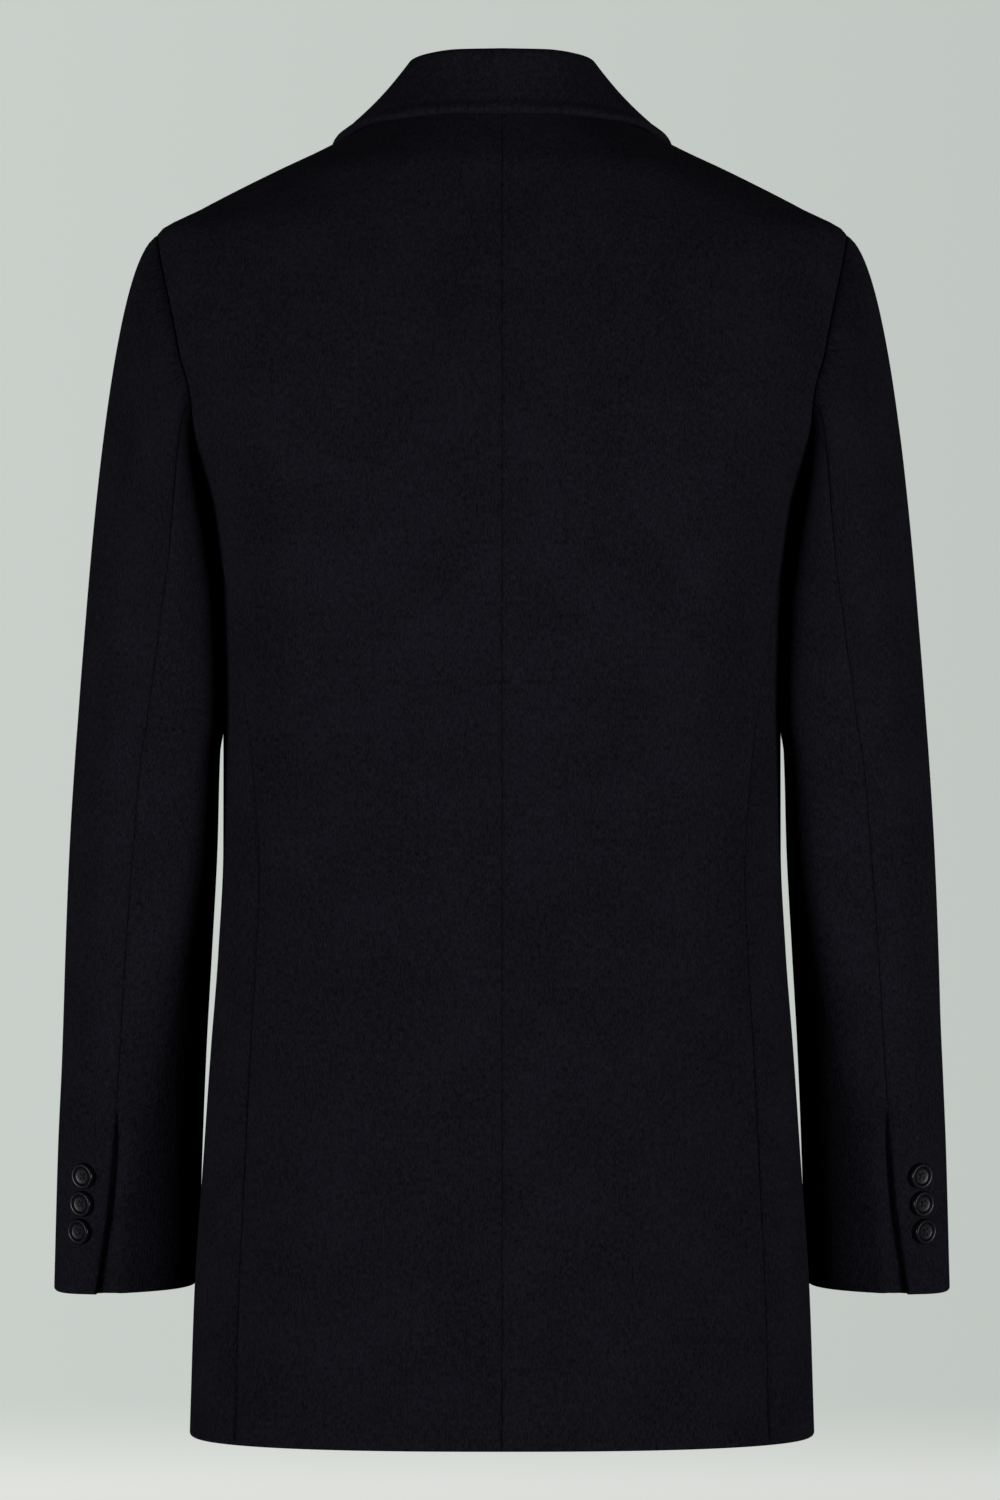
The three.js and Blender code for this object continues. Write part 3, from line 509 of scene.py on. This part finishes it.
FRONT_CREASES = {
    "left": {
        "x0": [170, 140, 60, 118, 30, 150],
        "z0": [-170, -210, -330, -400, -330, -560],
        "x1": [150, 100, 150, 90, 70, 128],
        "z1": [-330, -360, -300, -640, -420, -845],
        "wide": [12, 15, 16, 24, 14, 26],
        "high": [1.6, -1.2, 0.9, -0.9, 0.7, 1.2],
    },
    "right": {
        "x0": [168, 146, 66, 112, 150],
        "z0": [-165, -215, -340, -410, -540],
        "x1": [152, 104, 152, 96, 120],
        "z1": [-320, -350, -300, -660, -845],
        "wide": [13, 14, 17, 22, 27],
        "high": [1.5, -1.2, 0.8, -0.8, 1.1],
    },
}
for side, turned, sink in (("left", lambda grid: grid, not_sunk), ("right", mirrored, underlap)):
    face = panel(arm_edge(ARMHOLE_FRONT, PANEL_ROWS), front_turn(front_edge_x(PANEL_ROWS), PANEL_ROWS))
    face = pressed(face, face[..., 0], FRONT_CREASES[side], 0.5)
    turn = turn_on_body(face) % 360
    face = face - body_out(turn, face[..., 2]) * sink(turn, face[..., 2])[..., None]
    front = cloth(f"front_{side}_cloth", turned(face), hemmed(turned(face)))
    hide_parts(f"front_{side}")

# The sleeves. Each is cut in two, a wide upper sleeve and a narrow under sleeve, joined by a forearm seam
# and by an elbow seam that ends in a lapped vent at the cuff. The cuff is turned up, which doubles it.
BICEPS = -320
CUFF = {"z": -759.8, "tilt": 3.5, "lowest": 45}
SLEEVE = {
    "z": [-320, -362, -394, -409, -474, -539, -604, -669, -762],
    "outer": [269.8, 273.3, 275.8, 277, 281.3, 284.3, 286.8, 290.3, 293.6],
    "inner": [181, 180, 180.4, 183.2, 185.3, 189, 193, 196, 199.5],
    "depth": [134, 130, 127, 125, 119, 113, 108, 104, 100],
    "middle": [4, 2, 0, -1, -6, -13, -23, -33, -46],
}
SLEEVE_ROUND = {"outer": 2.3, "inner": 2.7}
SLEEVE_CLEAR = 1.6
ELBOW_SEAM = {
    "down": [0, 0.5, 1, 1.1, 1.2, 1.44, 1.74, 1.87, 2],
    "turn": [-15, -12, -6, -2.2, 1, 5.4, 8.8, 12.5, 20],
}
FOREARM_SEAM = {"down": [0, 1, 2], "turn": [226, 222, 218]}
VENT = {"sinks": 1.718, "top": 1.74, "seam": 8.8, "underlap": 14, "sunk": 3.4}
CUFF_DEPTH = 38
CUFF_THICK = 4.2


def armhole_point(turn):
    """A point of the armhole seam and the direction out of the body there, down the back or down the front
    from the shoulder tip."""
    behind = np.cos(np.radians(turn)) >= 0
    share = np.abs(np.where(behind, (turn + 180) % 360 - 180, turn % 360) - 90) / 180
    z = mix(SHOULDER_TIP, ARMHOLE_BOTTOM, (1 - np.cos(share * np.pi)) / 2)
    on_body = np.where(behind, along(ARMHOLE_BACK, "turn", z), along(ARMHOLE_FRONT, "turn", z))
    return body_point(on_body, z), body_out(on_body, z)


def sleeve_ring(turn, z):
    """A squared ellipse at each level below the biceps."""
    s, c = np.sin(np.radians(turn)), np.cos(np.radians(turn))
    outer, inner = along(SLEEVE, "outer", z), along(SLEEVE, "inner", z)
    power = np.where(s > 0, SLEEVE_ROUND["outer"], SLEEVE_ROUND["inner"])
    wide = np.abs(2 * s / (outer - inner)) ** power
    reach = (wide + np.abs(2 * c / along(SLEEVE, "depth", z)) ** power) ** (-1 / power)
    return np.stack([(outer + inner) / 2 + reach * s, along(SLEEVE, "middle", z) + reach * c, z + 0 * s], -1)


def clear_of_body(points):
    """The body's side pushes the sleeve out wherever it would come closer than SLEEVE_CLEAR."""
    z = points[..., 2]
    ridge = along(RIDGE, "y", z)
    side = body_point(turn_on_body(points), z)
    reach = np.hypot(points[..., 0], points[..., 1] - ridge)
    share = (np.hypot(side[..., 0], side[..., 1] - ridge) + SLEEVE_CLEAR) / reach
    share = np.where((share > 1) & (z <= ARMHOLE_BOTTOM), share, 1)
    return np.stack([points[..., 0] * share, ridge + (points[..., 1] - ridge) * share, z], -1)


def sleeve_point(turn, down):
    """The sleeve's outer side. down is 0 at the armhole, 1 at the biceps and 2 at the cuff. The head is a
    cubic from the armhole seam to the ring at the biceps, and leaves the seam outwards and a little
    down."""
    turn, down = np.broadcast_arrays(np.asarray(turn, float), np.asarray(down, float))
    end = CUFF["z"] - CUFF["tilt"] * np.cos(np.radians(turn - CUFF["lowest"]))
    arm = sleeve_ring(turn, mix(BICEPS, end, np.clip(down - 1, 0, 1)))
    s, c = np.sin(np.radians(turn)), np.cos(np.radians(turn))
    drop = np.where(s > 0, -0.35, mix(-0.35, 0.15, -s))
    way = unit(np.stack([mix(0.8, 1, np.abs(s)), 0.45 * c, drop], -1))
    start = armhole_point(turn)[0]
    biceps = sleeve_ring(turn, np.full_like(turn, BICEPS))
    below = sleeve_ring(turn, np.full_like(turn, BICEPS - 1))
    leave = way * mix(5, 80, (1 + s) / 2)[..., None]
    arrive = (below - biceps) * (0.92 * (start[..., 2:] - BICEPS))
    t = np.clip(down, 0, 1)[..., None]
    head = mix(start, biceps, t * t * (3 - 2 * t)) + leave * t * (1 - t) ** 2 + arrive * t * t * (t - 1)
    return clear_of_body(np.where(down[..., None] > 1, arm, head))


def sleeve_part(start, end, sink=not_sunk):
    """The sleeve between two seams, each a turn at every place down it, on an even grid."""
    down = np.linspace(0, 2, 420)
    turn = mix(start(down)[:, None], end(down)[:, None], np.linspace(0, 1, 200))
    down = np.broadcast_to(down[:, None], turn.shape)
    points = sleeve_point(turn, down)
    points = points - facing(points) * sink(turn, down)[..., None]
    grid = respaced(np.concatenate([points, turn[..., None], down[..., None]], -1))
    return respaced(grid.swapaxes(0, 1)).swapaxes(0, 1)


def elbow(down):
    return along(ELBOW_SEAM, "turn", down, "down")


def forearm(down):
    return along(FOREARM_SEAM, "turn", down, "down")


def vent_sink(turn, down):
    """How far the under sleeve lies under the flap, with a groove just beside the flap's edge."""
    groove = np.exp(-(((turn - 360 - elbow(down) + VENT_GROOVE["beside"]) / VENT_GROOVE["wide"]) ** 2))
    lapped = VENT["sunk"] * smooth(VENT["sinks"], VENT["top"], down) * smooth(360, 360 + VENT["seam"], turn)
    return lapped + VENT_GROOVE["high"] * groove * smooth(VENT["sinks"], VENT_GROOVE["full"], down)


def flap_lift(turn, down):
    """How far the upper sleeve's edge stands up over the vent."""
    from_edge = (turn - elbow(down)) / VENT_GROOVE["wide"]
    return VENT_GROOVE["flap"] * np.exp(-(from_edge**2)) * smooth(VENT["sinks"], VENT_GROOVE["full"], down)


VENT_GROOVE = {"beside": 2.5, "wide": 5, "high": 2.4, "flap": 0.9, "full": VENT["top"] + 0.06}
SLEEVE_CREASES = {
    "left": {
        "x0": [118, 128, 150, 60, 205, 96],
        "z0": [-150, -430, -500, -180, -470, -560],
        "x1": [100, 190, 210, 20, 250, 128],
        "z1": [-300, -500, -560, -300, -520, -700],
        "wide": [14, 9, 11, 12, 9, 16],
        "high": [1.0, 1.5, -1.3, 1.0, 1.2, 0.7],
    },
    "right": {
        "x0": [112, 134, 152, 64, 208, 92],
        "z0": [-160, -440, -512, -190, -480, -575],
        "x1": [102, 196, 205, 26, 248, 120],
        "z1": [-310, -515, -565, -310, -528, -710],
        "wide": [13, 9, 12, 13, 9, 17],
        "high": [0.9, 1.4, -1.3, 0.9, 1.1, 0.8],
    },
}


def sleeved(part, side, turned, name):
    """One part of a sleeve, creased, with its head sewn to the armhole's middle line and its cuff
    doubled."""
    face, turn = part[..., :3], part[..., 3] % 360
    lift = folds(SLEEVE_CREASES[side], turn, face[..., 2])
    lift = lift * smooth(-90, -150, face[..., 2]) + flap_lift(turn, part[..., 4])
    face = face + facing(face) * lift[..., None]
    cuff_top = CUFF["z"] + CUFF_DEPTH
    thick = mix(CLOTH, CUFF_THICK, smooth(cuff_top + 3, cuff_top - 3, face[..., 2]))
    seam, out = armhole_point(part[0, :, 3])
    seam = seam - out * (CLOTH / 2)
    if side == "right":
        seam, thick = seam[::-1] * (-1, 1, 1), thick[:, ::-1]
    return cloth(name, turned(face), thick, top=seam)


for side, turned in (("left", lambda grid: grid), ("right", mirrored)):
    upper = sleeved(sleeve_part(elbow, forearm), side, turned, f"sleeve_upper_{side}_cloth")
    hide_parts(f"sleeve_upper_{side}")
    under_part = sleeve_part(
        forearm,
        lambda down: 360 + elbow(down) + VENT["underlap"] * smooth(VENT["sinks"], VENT["top"], down),
        vent_sink,
    )
    under = sleeved(under_part, side, turned, f"sleeve_under_{side}_cloth")
    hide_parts(f"sleeve_under_{side}")

# The lapels. Each is the front's own facing, turned out along the roll line, where the wool bends over on
# itself. It lies on the front down to the top button, and its upper edge meets the collar at the gorge.
FOLD = {"thickness": 3.2, "inside": 0.5}
FOLD_OUTSIDE = FOLD["thickness"] + FOLD["inside"]
RESTING = 2 * FOLD["inside"] + FOLD["thickness"] + 0.4
ROLL_GAP = 0.5
GORGE_GAP = 0.4
NOTCH_X = 70
LAPEL_EDGE = {
    "t": [0, 0.25, 0.5, 0.75, 1],
    "x": [110, 86, 53, 19, -18],
    "z": [-118, -160, -203, -250, -299],
}


def on_front(x, z, raised, sink=not_sunk):
    turn = front_turn(x, z)
    return body_point(turn, z) + body_out(turn, z) * (raised - sink(turn, z))[..., None]


def roll_frame(z, sink=not_sunk):
    """The fold at a level of the roll line: its centre, the way across over the front, and the way out."""
    def edge(level):
        return on_front(front_edge_x(level), level, np.zeros_like(level), sink)
    out = body_out(front_turn(front_edge_x(z), z), z)
    down = unit(edge(z - 1) - edge(z))
    across = unit(np.cross(out, down))
    return edge(z) - across * ROLL_GAP + out * FOLD["inside"], across, unit(np.cross(down, across))


def fold_point(centre, across, out, t):
    """The outside of a fold: half a turn from straight inwards at 0 to straight outwards at 1."""
    swing = np.pi * np.asarray(t)[..., None]
    return centre - across * FOLD_OUTSIDE * np.sin(swing) - out * FOLD_OUTSIDE * np.cos(swing)


def lapel(sink):
    """The fold round the roll line, then the leaf that lies on the front, a row for each place down the
    lapel."""
    t = np.linspace(0, 1, 120)
    z = mix(ROLL_TOP["z"] - GORGE_GAP, BREAK_POINT + 1, t)
    fold = fold_point(*(way[:, None] for way in roll_frame(z, sink)), np.linspace(0, 1, 24)[None, :])
    share = np.linspace(0, 1, 90)[1:]
    x = mix(front_edge_x(z)[:, None], along(LAPEL_EDGE, "x", t, "t")[:, None], share)
    foot = along(LAPEL_EDGE, "z", t, "t") - GORGE_GAP * (1 - t)
    leaf = on_front(x, mix(z[:, None], foot[:, None], share), np.full(x.shape, RESTING), sink)
    grid = np.concatenate([fold, leaf], 1)[:, ::-1]
    return respaced(respaced(grid, 3).swapaxes(0, 1), 3).swapaxes(0, 1)


for side, turned, sink in (("left", lambda grid: grid, not_sunk), ("right", mirrored, underlap)):
    leaf = cloth(f"lapel_{side}_cloth", turned(lapel(sink)), FOLD["thickness"])
    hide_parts(f"lapel_{side}")

# The collar. One folded piece: a stand that rises from the neck seam, a soft fold, and a fall that comes
# back down over the shoulders and ends in the notch. Its lower edge is thick, because all its layers turn
# in there.
NECK_TURNS = {"place": 0.6, "turn": 105}
COLLAR_FOLD = {
    "place": [0, 0.15, 0.3, 0.45, 0.515, 0.6, 0.7, 0.8, 0.9, 1],
    "x": [0, 28, 46.5, 56.3, 59, 61.2, 59, 50, 41.5],
    "y": [58, 53, 39, 19, 5, -12, -32, -54, -76],
    "z": [38.3, 38.3, 36.8, 35, 32.4, 26.6, 10.6, -14, -45],
}
COLLAR_EDGE = {
    "place": [0, 0.15, 0.3, 0.45, 0.515, 0.6, 0.7, 0.8, 0.9, 1],
    "turn": [0, 29, 58, 81, 90, 100, 109.5, 119, 127.5, 135.5],
    "z": [-3.5, -4, -6, -9.5, -13, -20, -31, -47, -64, -82],
    "raised": [7, 6.5, 5, 4.4, 4.2, 4.2, 4.2, 4.2, 4.2, 4.2],
}
COLLAR_HOLLOW = 1.8
COLLAR_ENDS_FROM = 0.8
EDGE_ROLL = {"from_edge": 4.2, "wide": 3.4, "high": 0.7}
EDGE_GROOVE = {"from_edge": 9.0, "wide": 2.2, "high": -0.7}
COLLAR_EDGE_THICK = 5.4
COLUMNS = ("x", "y", "z")
for column, last in zip(COLUMNS, roll_frame(np.array([ROLL_TOP["z"]], float))[0][0]):
    COLLAR_FOLD[column].append(last)


def neck_edge(place):
    """The neckline: round the back of the neck at NECK_TOP, then down the front's own edge to the roll
    line."""
    round_it = NECK_TURNS["turn"] * place / NECK_TURNS["place"]
    z = ROLL_TOP["z"] * np.clip((place - NECK_TURNS["place"]) / (1 - NECK_TURNS["place"]), 0, 1)
    turn = np.where(place <= NECK_TURNS["place"], round_it, front_turn(front_edge_x(z), z))
    return body_point(turn, z), body_out(turn, z)


def fold_line(place):
    return np.stack([along(COLLAR_FOLD, column, place, "place") for column in COLUMNS], -1)


def fall_edge(place):
    turn, z = along(COLLAR_EDGE, "turn", place, "place"), along(COLLAR_EDGE, "z", place, "place")
    return body_point(turn, z) + body_out(turn, z) * along(COLLAR_EDGE, "raised", place, "place")[..., None]


def collar_frame(place):
    """The fold at each place: its centre, the way over it towards the fall's edge, and the way out."""
    centre = fold_line(place)
    way = unit(fold_line(np.minimum(place + 0.01, 1)) - fold_line(np.maximum(place - 0.01, 0)))
    over = fall_edge(place) - centre
    across = unit(over - way * (over * way).sum(-1, keepdims=True))
    out = unit(np.cross(way, across))
    ends = [part[0] for part in roll_frame(np.array([ROLL_TOP["z"]], float))]
    last = smooth(0.93, 1, place)[..., None]
    return centre, unit(mix(across, ends[1], last)), unit(mix(out, ends[2], last))


def plain_fall(place, t):
    """Straight from the fold to the edge, hollowed a little half way down."""
    centre, across, out = collar_frame(place)
    top = fold_point(centre, across, out, np.ones(len(place)))[:, None]
    sag = COLLAR_HOLLOW * np.sin(np.pi * t) * smooth(1, COLLAR_ENDS_FROM, place)[:, None]
    return mix(top, fall_edge(place)[:, None], t[..., None]) - out[:, None] * sag[..., None]


def gorge_z(x):
    share = (x - ROLL_TOP["x"]) / (LAPEL_EDGE["x"][0] - ROLL_TOP["x"])
    return mix(ROLL_TOP["z"], LAPEL_EDGE["z"][0], share)


def rest_on_body(points):
    """The fall lies on the body, never nearer than RESTING."""
    z = np.minimum(points[..., 2], NECK_TOP)
    ridge = along(RIDGE, "y", z)
    turn = turn_on_body(points)
    face, out = body_point(turn, z), body_out(turn, z)
    outside = np.hypot(points[..., 0], points[..., 1] - ridge) - np.hypot(face[..., 0], face[..., 1] - ridge)
    short = np.maximum(RESTING - outside * np.hypot(out[..., 0], out[..., 1]), 0)
    return points + out * (short * (points[..., 2] <= NECK_TOP))[..., None]


def half_collar():
    """The left half: a cubic up the stand, half a turn over the fold, and the fall, at each place round the
    neck."""
    place = np.linspace(0, 1, 120)
    t = np.linspace(0, 1, 60)[1:]
    corner = fall_edge(np.ones(1))[0]
    beyond = np.clip(3 * t - 2, 0, 1)
    end_x = mix(mix(ROLL_TOP["x"], NOTCH_X, np.minimum(1.5 * t, 1)), corner[0], beyond)
    end_z = mix(gorge_z(np.minimum(end_x, NOTCH_X)), COLLAR_EDGE["z"][-1], beyond)
    end = on_front(end_x, end_z, np.full(t.shape, RESTING))
    shift = end - plain_fall(np.ones(1), t)[0]
    weight = smooth(COLLAR_ENDS_FROM, 1, place)[:, None, None]
    fall = rest_on_body(plain_fall(place, t) + shift * weight)
    centre, across, out = collar_frame(place)
    fold = fold_point(centre[:, None], across[:, None], out[:, None], np.linspace(0.5, 1, 14)[None, 1:])
    at, panel_out = neck_edge(place)
    level = unit(panel_out * (1, 1, 0))
    away = unit(mix(level, panel_out, smooth(COLLAR_ENDS_FROM, 1, place)[:, None]))
    ahead = neck_edge(np.minimum(place + 0.005, 1))[0]
    behind = neck_edge(np.abs(place - 0.005))[0]
    behind[place < 0.005, 0] *= -1
    up = unit(np.cross(ahead - behind, away))
    foot = at - up * 1.2 - away * (CLOTH + FOLD["thickness"]) / 2
    top = fold_point(centre, across, out, np.full(len(place), 0.5))
    handle = np.linalg.norm(top - foot, axis=-1, keepdims=True) / 3
    s = np.linspace(0, 1, 24)[None, :, None]
    a, b, c, d = (p[:, None] for p in (foot, foot + up * handle, top - out * handle, top))
    stand = a * (1 - s) ** 3 + 3 * b * s * (1 - s) ** 2 + 3 * c * s * s * (1 - s) + d * s**3
    return np.concatenate([stand, fold, fall], 1)


left_half = half_collar().swapaxes(0, 1)
collar_face = np.concatenate([mirrored(left_half)[:, :-1], left_half], 1)
collar_face = respaced(respaced(collar_face, 3).swapaxes(0, 1), 3).swapaxes(0, 1)
from_fall_edge = lengths(collar_face, 0)[-1:] - lengths(collar_face, 0)
for mark in (EDGE_ROLL, EDGE_GROOVE):
    bell = mark["high"] * np.exp(-(((from_fall_edge - mark["from_edge"]) / mark["wide"]) ** 2))
    collar_face = collar_face + facing(collar_face) * bell[..., None]
collar_thick = mix(FOLD["thickness"], COLLAR_EDGE_THICK, smooth(10, 4, from_fall_edge))
collar = cloth("collar_cloth", collar_face, collar_thick)
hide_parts("collar")

# The buttons. Polished, dished discs of dark horn-effect resin with four holes, sewn on by crossed black
# thread: three small ones that touch at each cuff, and three larger ones down the front.
BUTTON_PROFILE = {
    "share": [0, 0.35, 0.58, 0.68, 0.78, 0.88, 0.95, 1],
    "high": [0.55, 0.55, 0.6, 0.8, 0.98, 1.0, 0.85, 0.5],
}
HOLE = {"from_middle": 0.2, "radius": 0.085}
BUTTON_REST = 0.35

resin = bpy.data.materials.new("dark_resin")
resin.use_nodes = True
tree = resin.node_tree
surface = tree.nodes["Principled BSDF"]
place_on = node(tree, "ShaderNodeTexCoord")
swirl = node(
    tree,
    "ShaderNodeTexNoise",
    {"Vector": place_on.outputs["Object"], "Scale": 220, "Detail": 3, "Distortion": 1.2},
)
shade = node(tree, "ShaderNodeMix", {"Factor": swirl.outputs["Fac"]}, data_type="RGBA")
shade.inputs[6].default_value = (0.003, 0.003, 0.005, 1)
shade.inputs[7].default_value = (0.008, 0.008, 0.012, 1)
worn = node(tree, "ShaderNodeMapRange", {"Value": swirl.outputs["Fac"], "To Min": 0.22, "To Max": 0.4})
tree.links.new(shade.outputs[2], surface.inputs["Base Color"])
tree.links.new(worn.outputs["Result"], surface.inputs["Roughness"])
surface.inputs["Specular IOR Level"].default_value = 0.2

thread = bpy.data.materials.new("black_thread")
thread.use_nodes = True
tree = thread.node_tree
surface = tree.nodes["Principled BSDF"]
place_on = node(tree, "ShaderNodeTexCoord")
twist = node(
    tree, "ShaderNodeTexNoise", {"Vector": place_on.outputs["Object"], "Scale": 5000, "Detail": 1},
)
shade = node(tree, "ShaderNodeMix", {"Factor": twist.outputs["Fac"]}, data_type="RGBA")
shade.inputs[6].default_value = (0.006, 0.006, 0.008, 1)
shade.inputs[7].default_value = (0.028, 0.028, 0.034, 1)
tree.links.new(shade.outputs[2], surface.inputs["Base Color"])
surface.inputs["Roughness"].default_value = 0.75


def tube(path, radius, sides=8):
    """A round thread carried along a path: a circle across the path's own direction at each point."""
    along_it = unit(np.gradient(path, axis=0))
    aside = unit(np.cross(along_it, (0.02, 0.05, 1)))
    upright = np.cross(aside, along_it)
    swing = np.linspace(0, 2 * np.pi, sides, endpoint=False)[None, :, None]
    rings = path[:, None] + radius * (aside[:, None] * np.cos(swing) + upright[:, None] * np.sin(swing))
    ring = np.arange(len(path) * sides).reshape(len(path), sides)
    after = np.roll(ring, -1, 1)
    quads = np.stack([ring[:-1], after[:-1], after[1:], ring[1:]], -1).reshape(-1, 4)
    return rings.reshape(-1, 3), quads


def sewn_button(name, diameter, thick, at, out, up):
    """A disc whose height follows BUTTON_PROFILE from its middle out, less a round dimple for each hole,
    closed by a flat back, with two threads crossed over the holes. Its own Z is out, and its holes are
    square to up."""
    rim = diameter / 2
    radius = np.concatenate([np.linspace(0, 0.45, 26), np.linspace(0.47, 1, 18)])[1:, None]
    swing = np.linspace(0, 2 * np.pi, 72, endpoint=False)[None, :]
    x, y = radius * np.cos(swing), radius * np.sin(swing)
    high = along(BUTTON_PROFILE, "high", radius, "share") * np.ones_like(swing)
    for sx, sy in ((1, 1), (1, -1), (-1, 1), (-1, -1)):
        from_hole = np.hypot(x - sx * HOLE["from_middle"] * 0.7071, y - sy * HOLE["from_middle"] * 0.7071)
        high = high - 0.42 * smooth(HOLE["radius"] * 1.15, HOLE["radius"] * 0.75, from_hole)
    top = np.stack([x * rim, y * rim, high * thick], -1)
    under = [np.stack([s * x[-1] * rim, s * y[-1] * rim, np.full(72, h * thick)], -1)
             for s, h in ((0.985, 0.2), (0.93, 0.04), (0.8, 0), (0.4, 0), (0.1, 0))]
    middle_top = [[0, 0, 0.55 * thick]]
    rings = np.concatenate([top, np.stack(under)])
    points = np.concatenate([middle_top, rings.reshape(-1, 3), [[0, 0, 0]]])
    ring = 1 + np.arange(rings.shape[0] * 72).reshape(-1, 72)
    after = np.roll(ring, -1, 1)
    quads = np.stack([ring[:-1], ring[1:], after[1:], after[:-1]], -1).reshape(-1, 4).tolist()
    quads += [[0, int(a), int(b)] for a, b in zip(ring[0], after[0])]
    quads += [[len(points) - 1, int(b), int(a)] for a, b in zip(ring[-1], after[-1])]
    discs = len(quads)
    reach = HOLE["from_middle"] * rim * 0.7071
    t = np.linspace(-1, 1, 13)
    for slant, lift in ((1, 0), (-1, 0.1)):
        for beside in (-1, 1):
            offset = 0.035 * rim * beside
            path = np.stack([
                t * reach + offset * slant,
                t * reach * slant - offset,
                thick * (0.5 + 0.17 * (1 - t**6)) + lift * rim * (1 - t * t),
            ], -1)
            tube_points, tube_quads = tube(path, 0.034 * rim)
            quads += (tube_quads + len(points)).tolist()
            points = np.concatenate([points, tube_points])
    side = unit(np.cross(up, out))
    upright = np.cross(out, side)
    placed = at + out * BUTTON_REST + points[:, :1] * side + points[:, 1:2] * upright + points[:, 2:] * out
    mesh = bpy.data.meshes.new(name)
    mesh.from_pydata((placed * MM).tolist(), [], quads)
    mesh.polygons.foreach_set("use_smooth", [True] * len(mesh.polygons))
    mesh.materials.append(resin)
    mesh.materials.append(thread)
    mesh.polygons.foreach_set("material_index", [int(k >= discs) for k in range(len(quads))])
    piece = bpy.data.objects.new(name, mesh)
    bpy.context.scene.collection.objects.link(piece)
    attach(piece, "root")
    return piece


CUFF_BUTTON = {"diameter": 17, "thick": 3.2}
CUFF_BUTTONS = {"down": [1.824, 1.865, 1.906], "turn": [31.5, 32.5, 34]}
FRONT_BUTTON = {"diameter": 28, "thick": 4.4}
FRONT_BUTTONS = [-322, -432, -542]
for i, (down, turn) in enumerate(zip(*CUFF_BUTTONS.values()), 1):
    at = sleeve_point(turn, down)
    up = sleeve_point(turn, down - 0.01) - sleeve_point(turn, down + 0.01)
    out = unit(np.cross(up, sleeve_point(turn + 1, down) - sleeve_point(turn - 1, down)))
    for side, over in (("left", (1, 1, 1)), ("right", (-1, 1, 1))):
        cuff_button = sewn_button(
            f"cuff_button_{side}_{i}_sewn", CUFF_BUTTON["diameter"], CUFF_BUTTON["thick"],
            at * over, out * over, up * over,
        )
        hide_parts(f"cuff_button_{side}_{i}")
for i, z in enumerate(FRONT_BUTTONS, 1):
    at, out = body_point(180, z), body_out(np.array(180.0), np.array(float(z)))
    front_button = sewn_button(
        f"front_button_{i}_sewn", FRONT_BUTTON["diameter"], FRONT_BUTTON["thick"],
        at, out, np.array([0, 0, 1.0]),
    )
    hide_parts(f"front_button_{i}")
